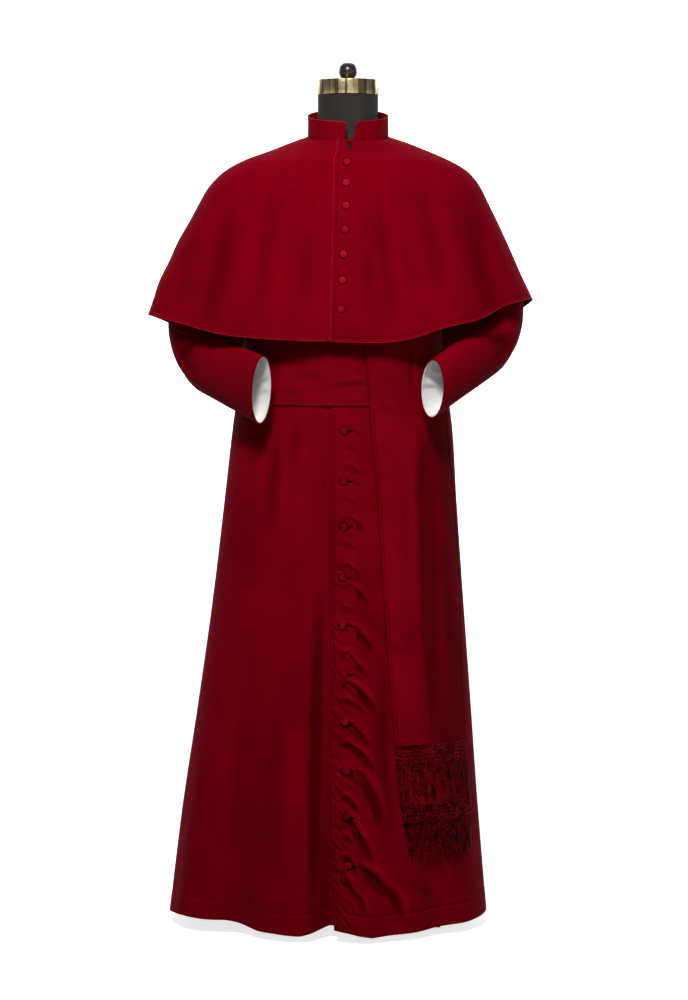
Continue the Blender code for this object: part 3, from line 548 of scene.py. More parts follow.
# ---------------------------------------------------------------- creases
# A crease runs from one place to another on the flat of the cloth, in metres. Across, it is a soft trough
# (negative depth) with a lower ridge beside it, as cloth that is pushed together makes; bow bends it.
Crease = namedtuple("Crease", "x z to_x to_z width depth bow", defaults=(0.0,))
CREASE_RIDGE = 0.55
CREASE_RIDGE_PLACE = 1.7


def creased(x, z, creases):
    """How far each place of the cloth is pushed out by its creases."""
    push = np.zeros(np.shape(x + z))
    for crease in creases:
        run_x, run_z = crease.to_x - crease.x, crease.to_z - crease.z
        length = math.hypot(run_x, run_z)
        along = ((x - crease.x) * run_x + (z - crease.z) * run_z) / length**2
        off = ((z - crease.z) * run_x - (x - crease.x) * run_z) / length
        off = off - crease.bow * 4.0 * along * (1.0 - along)
        fade = np.clip(1.0 - (2.0 * along - 1.0) ** 2, 0.0, 1.0)
        near = off / (crease.width * (0.65 + 0.35 * fade))
        trough = np.exp(-(near**2))
        ridge = CREASE_RIDGE * np.exp(-((near - CREASE_RIDGE_PLACE) ** 2))
        push = push + crease.depth * fade * (trough - ridge)
    return push


def soft_noise(x, z, size, seed):
    """A gentle unevenness of about 1, made of a few crossing waves some size long."""
    rng = np.random.default_rng(seed)
    total = np.zeros(np.shape(x + z))
    for _ in range(7):
        angle = rng.uniform(0.0, math.pi)
        pitch = size * rng.uniform(0.7, 1.6)
        phase = rng.uniform(0.0, 2.0 * math.pi)
        total += np.sin((x * math.cos(angle) + z * math.sin(angle)) * 2.0 * math.pi / pitch + phase)
    return total / 4.0


# ---------------------------------------------------------------- meshes
# The angle in degrees from which an edge of cloth is shaded sharp
CLOTH_SHARP = 62.0
# A stitch of sewing thread: its length, the gap to the next one, its half thickness, and how far out from
# the cloth it lies at its ends and between them
STITCH_LENGTH = 0.0034
STITCH_GAP = 0.0026
STITCH_THICK = 0.00055
STITCH_LIFTS = np.array((-0.0003, 0.0002, 0.0002, -0.0003))[:, None]


def declared(piece, finish, node=None):
    """Tells the frame what a piece rides on and hides the solid it stands for; its finish is not used."""
    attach(piece, "root")
    if node:
        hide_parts(node)
    return piece


def placed(name, data):
    """A new object of some data, in the scene."""
    thing = bpy.data.objects.new(name, data)
    bpy.context.scene.collection.objects.link(thing)
    return thing


def link(mesh, name, finish, node=None):
    """Makes a declared piece of a finished mesh."""
    mesh.materials.append(finish)
    return declared(placed(name, mesh), finish, node)


def lengths_along(points, axis):
    """How far along the cloth each point of a grid lies from its first row or column."""
    step = np.linalg.norm(np.diff(points, axis=axis), axis=-1)
    start = np.zeros_like(np.take(step, [0], axis=axis))
    return np.concatenate([start, np.cumsum(step, axis=axis)], axis=axis)


def cloth(
    name, node, places, finish, middle=0.0, push=0.0, thickness=CLOTH, closed=False, fold=None, crumple=0.0
):
    """A thin closed shell of cloth on a grid of points and normals; gives the grid of its outer face.

    middle and push both move it out. Its UV map is in metres along and across the cloth. Its finish reads
    how deep a crease is (fold, in millimetres), to paint shade into creases and highlight onto ridges, and
    where the cloth is crumpled (0 to 1).
    """
    points, normals = places
    rows, columns = points.shape[:2]
    out = np.broadcast_to(np.asarray(middle) + np.asarray(push), (rows, columns))[..., None]
    across = lengths_along(points, 1)
    across = across - across[:, columns // 2 : columns // 2 + 1]
    uv = np.stack([across, lengths_along(points, 0)], axis=-1).reshape(-1, 2)
    faces_out = [points + normals * (out + side * thickness / 2) for side in (-1.0, 1.0)]
    skins = np.concatenate([face.reshape(-1, 3) for face in faces_out])
    shell = rows * columns
    index = np.arange(shell).reshape(rows, columns)
    left = index if closed else index[:, :-1]
    right = np.roll(index, -1, axis=1) if closed else index[:, 1:]
    a, b, c, d = left[:-1], left[1:], right[1:], right[:-1]
    inner = np.stack([a, b, c, d], axis=-1).reshape(-1, 4)
    faces = [inner, np.stack([a, d, c, b], axis=-1).reshape(-1, 4) + shell]
    rims = [(left[0], right[0], False), (left[-1], right[-1], True)]
    if not closed:
        rims += [(index[:-1, 0], index[1:, 0], True), (index[:-1, -1], index[1:, -1], False)]
    for low, high, turned in rims:
        rim = np.stack([low, high, high + shell, low + shell], axis=-1)
        faces.append(rim[:, ::-1] if turned else rim)
    faces = np.concatenate(faces)
    # The order of the grid's rows and columns decides which side the faces show, so it is tested
    first = skins[faces[len(inner)]]
    if np.dot(np.cross(first[1] - first[0], first[2] - first[1]), normals[0, 0]) < 0.0:
        faces = faces[:, ::-1]
    mesh = bpy.data.meshes.new(name)
    mesh.vertices.add(len(skins))
    mesh.vertices.foreach_set("co", skins.astype(np.float32).ravel())
    mesh.loops.add(faces.size)
    mesh.loops.foreach_set("vertex_index", faces.astype(np.int32).ravel())
    mesh.polygons.add(len(faces))
    mesh.polygons.foreach_set("loop_start", np.arange(len(faces), dtype=np.int32) * 4)
    layer = mesh.uv_layers.new(name="cloth")
    layer.data.foreach_set("uv", np.tile(uv, (2, 1))[faces.ravel()].astype(np.float32).ravel())
    for mark, value in (("fold", np.asarray(push if fold is None else fold) * 1000.0), ("crumple", crumple)):
        value = np.tile(np.broadcast_to(value, (rows, columns)).ravel(), 2)
        mesh.attributes.new(mark, "FLOAT", "POINT").data.foreach_set("value", value.astype(np.float32))
    mesh.update(calc_edges=True)
    mesh.validate()
    mesh.shade_smooth()
    mesh.set_sharp_from_angle(angle=math.radians(CLOTH_SHARP))
    link(mesh, name, finish, node)
    return faces_out[1], normals


def tube(bm, layer, path, radius, sides, normals=None):
    """Adds a closed round tube along a path; its radius may change along it."""
    path = np.asarray(path, float)
    radius = np.broadcast_to(radius, len(path))
    ahead = unit(np.gradient(path, axis=0))
    if normals is None:
        normals = np.tile((0.0, -1.0, 0.0), (len(path), 1))
    across = unit(np.cross(ahead, normals))
    out = np.cross(across, ahead)
    along = lengths_along(path, 0)
    angles = 2.0 * math.pi * np.arange(sides) / sides
    rings = []
    for place, right, up, size in zip(path, across, out, radius):
        ring = place + (np.outer(np.cos(angles), right) + np.outer(np.sin(angles), up)) * size
        rings.append([bm.verts.new(corner) for corner in ring])
    for k in range(len(path) - 1):
        for n in range(sides):
            m = (n + 1) % sides
            face = bm.faces.new((rings[k][n], rings[k][m], rings[k + 1][m], rings[k + 1][n]))
            share = ((n, k), (n + 1, k), (n + 1, k + 1), (n, k + 1))
            for loop, (side, at) in zip(face.loops, share):
                loop[layer].uv = (side / sides * 2.0 * math.pi * radius[k], along[at])
    bm.faces.new(rings[0])
    bm.faces.new(rings[-1])


def new_tubes():
    """An empty mesh under work, with the cloth's UV layer."""
    bm = bmesh.new()
    return bm, bm.loops.layers.uv.new("cloth")


def finish_bmesh(bm, name, finish, smooth=50.0, node=None):
    """Makes a piece of a mesh under work; edges sharper than smooth, in degrees, stay sharp."""
    bmesh.ops.recalc_face_normals(bm, faces=bm.faces)
    mesh = bpy.data.meshes.new(name)
    bm.to_mesh(mesh)
    bm.free()
    mesh.shade_smooth()
    mesh.set_sharp_from_angle(angle=math.radians(smooth))
    return link(mesh, name, finish, node)


def tubes(name, paths, radius, finish, sides=6):
    """One piece of several tubes, each on its own (points, normals) path."""
    bm, layer = new_tubes()
    for points, normals in paths:
        tube(bm, layer, points, radius, sides, normals)
    finish_bmesh(bm, name, finish)


def stitches(name, lines, finish):
    """Lines of sewing thread: along each (points, normals) path, short stitches that dip at both ends."""
    bm, layer = new_tubes()
    for points, normals in lines:
        along = lengths_along(points, 0)
        count = int(along[-1] / (STITCH_LENGTH + STITCH_GAP))
        for k in range(count):
            at = (k + 0.5) * along[-1] / count + np.array((-0.5, -0.25, 0.25, 0.5)) * STITCH_LENGTH
            place = np.stack([np.interp(at, along, points[:, c]) for c in range(3)], axis=-1)
            out = unit(np.stack([np.interp(at, along, normals[:, c]) for c in range(3)], axis=-1))
            tube(bm, layer, place + out * STITCH_LIFTS, STITCH_THICK, 4, out)
    finish_bmesh(bm, name, finish, smooth=80.0)


# ---------------------------------------------------------------- the cassock's body
# Rows or columns beside an edge, in metres from it, close enough to hold a turned hem and its stitching
EDGE_PLACES = (0.0, 0.0012, 0.0028, 0.0044, 0.0052, 0.0060, 0.0068, 0.0084, 0.0110)
# A stitched edge: how far in the stitching runs, how much the doubled cloth beside it is raised, half the
# width in which that ends, and how deep and how wide (to each side) the thread is sunk into the cloth
STITCH_PLACE = 0.0060
WELT_HEIGHT = 0.00045
WELT_END = 0.0006
STITCH_DEPTH = 0.0007
STITCH_REACH = 0.0011
# How wide the skirt's hem is turned up, how far the rows beside its stitching lie from it, and how close
# any two rows may lie
HEM_WIDTH = 0.036
HEM_LINE = 0.0015
CLOSEST_ROWS = 0.0012

# Drag creases that run down from the buttons to the wearer's left, on the left front
FRONT_DRAGS = rows_of(
    Crease,
    (-0.012, 0.868, 0.020, 0.850, 0.0035, -0.0025, 0.002),
    (-0.014, 0.832, 0.026, 0.812, 0.0044, -0.0034, 0.002),
    (-0.006, 0.776, 0.022, 0.760, 0.0035, -0.0025),
    (-0.012, 0.742, 0.032, 0.716, 0.0053, -0.0040, 0.002),
    (-0.010, 0.700, 0.016, 0.684, 0.0035, -0.0028),
    (-0.016, 0.664, 0.028, 0.628, 0.0048, -0.0050, 0.002),
    (-0.008, 0.628, 0.036, 0.586, 0.0048, -0.0053, 0.003),
    (-0.020, 0.596, 0.010, 0.572, 0.0040, -0.0040),
    (-0.014, 0.560, 0.044, 0.506, 0.0057, -0.0068, 0.004),
    (-0.020, 0.520, 0.012, 0.492, 0.0042, -0.0050),
    (-0.004, 0.504, 0.036, 0.462, 0.0044, -0.0056, -0.002),
    (-0.018, 0.462, 0.052, 0.396, 0.0062, -0.0081, 0.005),
    (-0.020, 0.438, 0.014, 0.408, 0.0040, -0.0050),
    (0.004, 0.424, 0.034, 0.396, 0.0037, -0.0043),
    (-0.016, 0.394, 0.040, 0.338, 0.0053, -0.0074, 0.003),
    (-0.020, 0.362, 0.008, 0.338, 0.0040, -0.0053),
    (-0.006, 0.350, 0.048, 0.296, 0.0051, -0.0071, 0.004),
    (-0.020, 0.318, 0.020, 0.272, 0.0048, -0.0062, 0.003),
    (0.010, 0.306, 0.058, 0.200, 0.0079, -0.0081, 0.008),
    (-0.018, 0.268, 0.022, 0.220, 0.0044, -0.0059, 0.002),
    (-0.016, 0.234, 0.032, 0.152, 0.0062, -0.0081, 0.006),
    (-0.020, 0.206, 0.010, 0.166, 0.0042, -0.0056),
    (0.004, 0.200, 0.048, 0.130, 0.0055, -0.0065, 0.004),
    (-0.016, 0.164, 0.018, 0.112, 0.0046, -0.0062, 0.002),
    (0.014, 0.140, 0.072, 0.074, 0.0075, -0.0090, 0.004),
    (-0.018, 0.124, 0.014, 0.070, 0.0046, -0.0062, 0.003),
    (0.006, 0.096, 0.034, 0.044, 0.0053, -0.0056, 0.002),
    (0.066, 0.100, 0.096, 0.030, 0.0079, -0.0056, 0.004),
) + tuple(
    # The cloth is drawn from each button towards the end of its buttonhole
    Crease(spot.x + 0.011, spot.z + 0.001, spot.x + 0.034, spot.z - 0.012, 0.0032, -0.0026, 0.002)
    for spot in FRONT_BUTTONS
)
# Long soft folds of the skirt between the large ones
RIGHT_SOFT = rows_of(
    Crease,
    (-0.050, 0.640, -0.064, 0.020, 0.0140, -0.0054, 0.003),
    (-0.106, 0.500, -0.140, 0.030, 0.0220, -0.0016, -0.006),
    (-0.165, 0.560, -0.215, 0.060, 0.0170, -0.0012, 0.004),
    (-0.128, 0.900, -0.142, 0.700, 0.0120, -0.0020, 0.004),
    (-0.085, 0.930, -0.100, 0.800, 0.0100, -0.0014),
    (-0.040, 0.905, -0.044, 0.730, 0.0090, -0.0012),
)
LEFT_SOFT = rows_of(
    Crease,
    (0.060, 0.560, 0.078, 0.120, 0.0130, -0.0026, -0.005),
    (0.170, 0.300, 0.200, 0.040, 0.0140, -0.0022, 0.004),
    (0.110, 0.110, 0.150, 0.040, 0.0110, -0.0024, 0.005),
    (0.030, 0.700, 0.038, 0.420, 0.0110, -0.0012, 0.003),
)
BACK_SOFT = rows_of(
    Crease,
    (-0.060, 0.900, -0.070, 0.300, 0.0150, -0.0024, 0.006),
    (-0.150, 0.780, -0.190, 0.120, 0.0170, -0.0028, -0.006),
    (-0.110, 0.520, -0.120, 0.040, 0.0130, -0.0024, 0.004),
    (0.050, 0.880, 0.066, 0.260, 0.0150, -0.0024, -0.005),
    (0.130, 0.740, 0.160, 0.100, 0.0160, -0.0028, 0.005),
    (0.095, 0.430, 0.100, 0.050, 0.0120, -0.0022, 0.004),
    (0.010, 0.640, 0.014, 0.080, 0.0120, -0.0018, 0.004),
)
# How deep the painted shade along a pressed edge is, as if the edge were that far down in a crease
EDGE_SHADE = 0.0030
# How deep the cloth is drawn in under a button, and how far round it
DIMPLE_DEPTH = 0.0016
DIMPLE_REACH = 0.0095


def turned_hem(distance, place, height=WELT_HEIGHT):
    """The doubled cloth beside an edge, and the line of stitching that holds it down."""
    doubled = height * below(distance, place - WELT_END, place + WELT_END)
    return doubled - STITCH_DEPTH * np.exp(-(((distance - place) / STITCH_REACH) ** 2))


def skirt_hem(z):
    return turned_hem(z - HEM, HEM_WIDTH, 0.0003)


def dimples(points, surface, buttons, lift):
    """The cloth is drawn in a little round each button."""
    push = np.zeros(points.shape[:2])
    for u, v in buttons:
        near = np.linalg.norm(points - place_on(surface, u, v, lift), axis=-1) / DIMPLE_REACH
        push -= DIMPLE_DEPTH * np.exp(-(near**2))
    return push


def place_on(surface, u, v, out=0.0):
    """A single place on a surface, or out from it."""
    points, normals = grid_of(surface, np.array([[u]]), np.array([[v]]))
    return points[0, 0] + normals[0, 0] * out


def front_button_places():
    """Each front button's turn and height."""
    return [(turn_at(BODY, spot.x, spot.z), spot.z) for spot in FRONT_BUTTONS]


def cape_share(z):
    """The share of the cape's height at which its centre front reaches a height."""
    shares = np.linspace(0.0, 1.0, 400)
    return float(np.interp(z, cape_height(shares), shares))


def cape_button_places():
    """Each cape button's turn and share of the cape's height."""
    return [(turn_at(CAPE, spot.x, spot.z), cape_share(spot.z)) for spot in CAPE_BUTTONS]


def left_front_places(turn, z):
    """The left front's grid, its lift and its creases: the buttonholes lie on them too."""
    points, normals = grid_of(body(LEFT_FRONT_FOLDS), turn, z)
    push = creased(points[..., 0], z, FRONT_DRAGS + LEFT_SOFT) * below(z, 0.880, SASH_LOW - 0.005)
    return points, normals, FRONT_LIFT * below(turn, UNDERLAP, LIFT_END), push


def make_right_front(wool):
    turn, z = panel_grid(np.sort(-panel_turns(-UNDERLAP, 90.0, 55.0)), body_rows())
    points, normals = grid_of(body(RIGHT_FRONT_FOLDS), turn, z)
    push = creased(points[..., 0], z, RIGHT_SOFT) * below(z, 0.900, SASH_LOW - 0.005)
    # There are no creases where the left front lies over it
    push = push * ease((-UNDERLAP - turn) / 8.0) + skirt_hem(z)
    cloth("right_front", "front_right", (draw_in(points, last=False), normals), wool, push=push)


def make_left_front(wool):
    rows = body_rows()
    edge = closing_turn(rows)[:, None]
    width = smooth_column(BODY, "z", "left", rows)[:, None]
    close = edge + np.degrees(np.array(EDGE_PLACES)[None, :] / width)
    wide = panel_turns(0.0, 90.0, 38.0)
    later = wide[wide > np.max(close) + 0.8]
    turn, z = panel_grid(np.concatenate([[0.0], later]), rows)
    turn = np.hstack([close, turn[:, 1:]])
    z = np.hstack([np.repeat(rows[:, None], close.shape[1], axis=1), z[:, 1:]])
    points, normals, lift, push = left_front_places(turn, z)
    from_edge = np.abs(points[..., 0] - points[:, :1, 0])
    push = push * ease(from_edge / 0.008) + turned_hem(from_edge, STITCH_PLACE) + skirt_hem(z)
    push = push + dimples(points, body(LEFT_FRONT_FOLDS), front_button_places(), FRONT_LIFT)
    # The lower the cloth and the nearer the closing, the more it is puckered
    crumple = np.exp(-((from_edge / 0.052) ** 2)) * below(z, 0.30, 1.05) * ease(z / 0.03)
    # Painted shade along the front's edge, below the sash
    fold = push - EDGE_SHADE * np.exp(-((from_edge / 0.0025) ** 2)) * (z < SASH_LOW)
    places = draw_in(points, first=False), normals
    cloth("left_front", "front_left", places, wool, middle=lift, push=push, fold=fold, crumple=crumple)
    return points + normals * (lift + push + CLOTH / 2)[..., None], normals


def make_backs(wool):
    for side, start, end, folds in (
        ("right", -180.0, -90.0, RIGHT_BACK_FOLDS),
        ("left", 90.0, 180.0, LEFT_BACK_FOLDS),
    ):
        turn, z = panel_grid(steps_between(start, end, BACK_TURN), body_rows())
        points, normals = grid_of(body(folds), turn, z)
        push = creased(points[..., 0], z, BACK_SOFT) * below(z, 0.890, 0.920)
        push = push * ease(np.minimum(turn - start, end - turn) / 6.0) + skirt_hem(z)
        cloth(f"{side}_back", f"back_{side}", (draw_in(points), normals), wool, push=push)


# ---------------------------------------------------------------- sleeves
# Creases of a sleeve, by how far round from the front seam and how far down from the armhole they run
SLEEVE_CREASES = {
    "right": rows_of(
        Crease,
        (0.010, 0.330, 0.070, 0.300, 0.0070, -0.0030, 0.004),
        (0.020, 0.360, 0.085, 0.345, 0.0080, -0.0034, -0.004),
        (0.030, 0.400, 0.090, 0.395, 0.0070, -0.0026, 0.003),
        (0.240, 0.330, 0.190, 0.420, 0.0080, -0.0030, 0.006),
        (0.215, 0.370, 0.170, 0.480, 0.0090, -0.0026, 0.006),
        (0.250, 0.300, 0.200, 0.330, 0.0070, -0.0026, 0.003),
        (0.150, 0.350, 0.140, 0.500, 0.0100, -0.0022, 0.004),
    ),
    "left": rows_of(
        Crease,
        (0.010, 0.310, 0.070, 0.285, 0.0070, -0.0030, 0.004),
        (0.020, 0.345, 0.080, 0.335, 0.0080, -0.0030, -0.004),
        (0.030, 0.385, 0.085, 0.380, 0.0070, -0.0024, 0.003),
        (0.230, 0.310, 0.185, 0.400, 0.0080, -0.0028, 0.006),
        (0.205, 0.350, 0.160, 0.460, 0.0090, -0.0026, 0.006),
        (0.150, 0.330, 0.140, 0.480, 0.0100, -0.0020, 0.004),
    ),
}


def sleeve_path(sleeve):
    """Places along the arm's middle line: the solid's count of rings, the point and the direction."""
    shoulder, elbow, wrist = (np.array(place) for place in (sleeve.shoulder, sleeve.elbow, sleeve.wrist))
    down, ahead = unit(elbow - shoulder), unit(wrist - elbow)
    turn = math.acos(float(np.clip(down @ ahead, -1.0, 1.0)))
    reach = sleeve.bend * math.tan(turn / 2.0)
    across = unit(ahead - down * (ahead @ down))
    bend_start, bend_end = elbow - down * reach, elbow + ahead * reach
    centre = bend_start + across * sleeve.bend
    start = shoulder + (elbow - shoulder) * ARM_START
    places = []
    for at in np.linspace(0.0, ELBOW_FROM, ARM_FINE, endpoint=False):
        places.append((at, start + (bend_start - start) * at, down))
    for share in np.linspace(0.0, 1.0, 4 * ARM_FINE, endpoint=False):
        angle = turn * share
        point = centre - across * sleeve.bend * math.cos(angle) + down * sleeve.bend * math.sin(angle)
        direction = down * math.cos(angle) + across * math.sin(angle)
        places.append((ELBOW_FROM + (ELBOW_TO - ELBOW_FROM) * share, point, direction))
    for share in np.linspace(0.0, 1.0, 4 * ARM_FINE):
        places.append((ELBOW_TO + (ARM_END - ELBOW_TO) * share, bend_end + (wrist - bend_end) * share, ahead))
    return places


def arm_rings(sleeve, count):
    """Rings of the arm below the armhole: flat ovals whose long side lies in the plane of the bend."""
    places = sleeve_path(sleeve)
    rings = []
    around = 2.0 * np.pi * np.arange(count) / count
    for at, centre, ahead in places:
        share = at / ARM_END
        outward = np.array((sleeve.side * 1.0, 0.0, 0.0)) * (1.0 - ease(share))
        outward = outward + np.array((sleeve.side * 0.815, -0.58, 0.0)) * ease(share)
        outward = unit(outward - ahead * (outward @ ahead))
        inside = unit(np.cross(ahead, outward)) * sleeve.side
        taper = max(0.0, at - ELBOW_TAPER) / (ARM_END - ELBOW_TAPER)
        half_short, half_long = (a + (b - a) * taper for a, b in zip(ARM_HALF, sleeve.cuff_half))
        ring = centre + np.outer(np.cos(around) * half_short, outward)
        ring = ring + np.outer(np.sin(around) * half_long, inside)
        slant = sleeve.slant * max(0.0, at - ARM_END + 1.0)
        rings.append(ring - np.outer(np.sin(around) * slant, ahead))
    return np.array(rings), places[0][2]


def sleeve_grid(sleeve):
    """The whole sleeve as a closed grid of rings, from the armhole's edge to the cuff."""
    steps = np.arange(ARMHOLE_STEPS * RING_FINE + 1) / (ARMHOLE_STEPS * RING_FINE)
    z = ARMHOLE_LOW + (ARMHOLE_HIGH - ARMHOLE_LOW) * 0.5 * (1.0 - np.cos(np.pi * steps))
    z = z[::-1]
    width = armhole_width(z)
    front = sleeve.side * (90.0 - width)
    back = sleeve.side * (90.0 + width[1:-1][::-1])
    turn = np.concatenate([front, back])
    z = np.concatenate([z, z[1:-1][::-1]])
    edge, outward = grid_of(body(()), turn, z)
    start = edge + outward * (CLOTH / 2 + SEAM)
    arm, down = arm_rings(sleeve, len(turn))
    reach = np.linalg.norm(arm[0] - start, axis=-1, keepdims=True)
    leave = outward * reach * 0.5
    arrive = down * reach
    rings = []
    for share in np.linspace(0.0, 1.0, BLEND_FINE, endpoint=False):
        rise = ease(share)
        ring = start * (1.0 - rise) + arm[0] * rise
        rings.append(ring + leave * share * (1.0 - share) ** 2 - arrive * share * share * (1.0 - share))
    rings = np.array(rings + list(arm))
    around = np.roll(rings, -1, axis=1) - np.roll(rings, 1, axis=1)
    along = np.gradient(rings, axis=0)
    along[0] = outward
    normals = unit(np.cross(around, along))
    centres = rings.mean(axis=1, keepdims=True)
    if np.sum(normals[-1] * (rings[-1] - centres[-1])) < 0.0:
        normals = -normals
    return rings, normals


def make_sleeves(wool, cotton):
    for sleeve in SLEEVES:
        side = sleeve.name
        rings, normals = sleeve_grid(sleeve)
        count = rings.shape[1]
        seam, other = FRONT_SEAM * RING_FINE, BACK_SEAM * RING_FINE
        down = lengths_along(rings, 0)
        round_ = np.roll(lengths_along(np.roll(rings, -seam, axis=1), 1), seam, axis=1)
        push = creased(round_, down, SLEEVE_CREASES[side])
        push = push * ease((down[-1] - down) / 0.020) * ease(down / 0.10)
        for part, columns in (
            ("top", np.arange(other, seam + count + 1) % count),
            ("under", np.arange(seam, other + 1)),
        ):
            from_seam = np.minimum(np.arange(len(columns)), np.arange(len(columns))[::-1])
            own = push[:, columns] * ease(from_seam / 4.0)[None, :]
            places = draw_in(rings[:, columns]), normals[:, columns]
            cloth(f"{side}_sleeve_{part}", f"sleeve_{side}_{part}", places, wool, push=own)
        lined = slice(-1 - 3 * ARM_FINE, None)
        inner = rings[lined].copy()
        inner[-1] -= unit(inner[-1] - inner[-2]) * LINING_SETBACK
        depth = -(CLOTH / 2 + SEAM + LINING / 2)
        lining = {"middle": depth, "push": push[lined], "thickness": LINING, "closed": True}
        cloth(f"{side}_cuff_lining", f"cuff_lining_{side}", (inner, normals[lined]), cotton, **lining)


# ---------------------------------------------------------------- shoulder cape
CAPE_RIGHT_SOFT = rows_of(
    Crease,
    (-0.130, 1.330, -0.165, 1.060, 0.0170, -0.0016, 0.004),
    (-0.206, 1.320, -0.246, 1.040, 0.0250, -0.0020, 0.006),
    (-0.262, 1.245, -0.312, 1.070, 0.0170, -0.0014, 0.003),
    (-0.070, 1.270, -0.078, 1.060, 0.0170, -0.0009, 0.004),
)
CAPE_LEFT_SOFT = rows_of(
    Crease,
    (0.050, 1.330, 0.082, 1.070, 0.0130, -0.0019, -0.006),
    (0.118, 1.340, 0.164, 1.090, 0.0180, -0.0015, 0.004),
    (0.214, 1.320, 0.254, 1.070, 0.0240, -0.0020, -0.006),
    (0.258, 1.240, 0.302, 1.090, 0.0160, -0.0013, 0.003),
    (0.030, 1.235, 0.034, 1.080, 0.0120, -0.0009, 0.003),
)


# The height of the cape's front from hem to neck, and the share of it at which the shoulder's slope starts
CAPE_HEIGHT = 0.36
SHOULDER = 0.80


def cape_rows():
    """Shares of the cape's height: close together at the hem and where it narrows to the neck."""
    close = np.array(EDGE_PLACES) / CAPE_HEIGHT / CAPE_CROWDING
    even = steps_between(close[-1], SHOULDER, 0.0085)[1:]
    return np.concatenate([close, even, steps_between(SHOULDER, 1.0, 0.0135)[1:]])


def cape_creases(points, creases):
    """A cape half's creases, faded out towards its hem, and how far each place lies from the hem."""
    from_hem = lengths_along(points, 0)
    return creased(points[..., 0], points[..., 2], creases) * ease(from_hem / 0.02), from_hem


def make_right_cape(wool):
    """Gives the line of its hem, which the piping follows."""
    turns = np.concatenate([steps_between(-180.0, -95.0, 1.5)[:-1], steps_between(-95.0, CAPE_UNDERLAP, 1.0)])
    points, normals = grid_of(cape(CAPE_RIGHT_FOLDS), *np.meshgrid(turns, cape_rows()))
    soft, from_hem = cape_creases(points, CAPE_RIGHT_SOFT)
    push = soft * (turns > -90.0) * ease((-6.0 - turns) / 6.0) + turned_hem(from_hem, STITCH_PLACE)
    cloth("right_cape", "cape_right", (draw_in(points, last=False), normals), wool, push=push)
    return points[0] + normals[0] * push[0][:, None], normals[0]


def make_left_cape(wool):
    """Gives the grid of its outer face."""
    shares = cape_rows()
    z = cape_height(shares)
    edge = turn_at(CAPE, straight_column(CAPE_EDGE, "z", "x", z), z)[:, None]
    close = edge + np.degrees(np.array(EDGE_PLACES)[None, :] / smooth_column(CAPE, "z", "right", z)[:, None])
    wide = np.concatenate([steps_between(0.0, 95.0, 1.0)[:-1], steps_between(95.0, 180.0, 1.5)])
    start = np.max(close, axis=1, keepdims=True)
    later = start + (wide[wide > 3.0][None, :] - 3.0) * (180.0 - start) / (180.0 - 3.0)
    turn = np.hstack([close, later])
    share = np.repeat(shares[:, None], turn.shape[1], axis=1)
    surface = cape(CAPE_LEFT_FOLDS)
    points, normals = grid_of(surface, turn, share)
    soft, from_hem = cape_creases(points, CAPE_LEFT_SOFT)
    from_edge = lengths_along(points, 1)
    push = soft * (turn < 90.0) * ease(from_edge / 0.03)
    push = push + turned_hem(from_hem, STITCH_PLACE) + turned_hem(from_edge, STITCH_PLACE)
    push = push + dimples(points, surface, cape_button_places(), CAPE_LIFT)
    # The left half is lifted off the right half that it covers
    lift = CAPE_LIFT * below(turn, CAPE_UNDERLAP, CAPE_LIFT_END)
    cloth("left_cape", "cape_left", (draw_in(points, first=False), normals), wool, middle=lift, push=push)
    return points + normals * (lift + push + CLOTH / 2)[..., None], normals


# ---------------------------------------------------------------- collar
def collar_grid(fine, heights):
    """A standing band whose ends stand apart at the front and whose top slopes down to the front."""
    shares = np.linspace(0.0, 1.0, fine + 1)
    points, normals = [], []
    for height in heights:
        right, left = (foot + (top - foot) * height for foot, top in zip(COLLAR_GAP_FOOT, COLLAR_GAP_TOP))
        start = math.asin(left / COLLAR_RADIUS)
        end = 2.0 * math.pi + math.asin(right / COLLAR_RADIUS)
        angle = start + (end - start) * shares
        out = np.stack([np.sin(angle), -np.cos(angle), 0.0 * angle], axis=-1)
        forward = COLLAR_RADIUS * np.cos(angle)
        from_end = np.minimum(shares, 1.0 - shares) * (end - start) * COLLAR_RADIUS
        corner = np.clip(1.0 - from_end / COLLAR_CORNER, 0.0, 1.0)
        top = COLLAR_TOP - COLLAR_TILT * forward - (COLLAR_CORNER * 0.6) * corner**2
        foot = COLLAR_FOOT - NECK_TILT * forward
        ring = out * COLLAR_RADIUS
        ring[:, 2] = foot + (top - foot) * height
        points.append(ring)
        normals.append(out)
    return np.array(points), np.array(normals)


def make_collar(wool):
    """Gives the line of its upper edge, which the piping follows."""
    heights = (0.0, 0.04, 0.09, 0.16, 0.28, 0.42, 0.56, 0.70, 0.82, 0.90, 0.95, 1.0)
    points, normals = collar_grid(160, heights)
    from_foot = lengths_along(points, 0)
    from_top = from_foot[-1] - from_foot
    push = 0.0005 * soft_noise(lengths_along(points, 1), from_foot, 0.050, 11) * ease(from_top / 0.01)
    push = push + turned_hem(from_top, 0.0045, 0.0003) + turned_hem(from_foot, 0.0030, 0.0)
    cloth("standing_collar", "collar", (points, normals), wool, push=push)
    return points[-1], normals[-1]


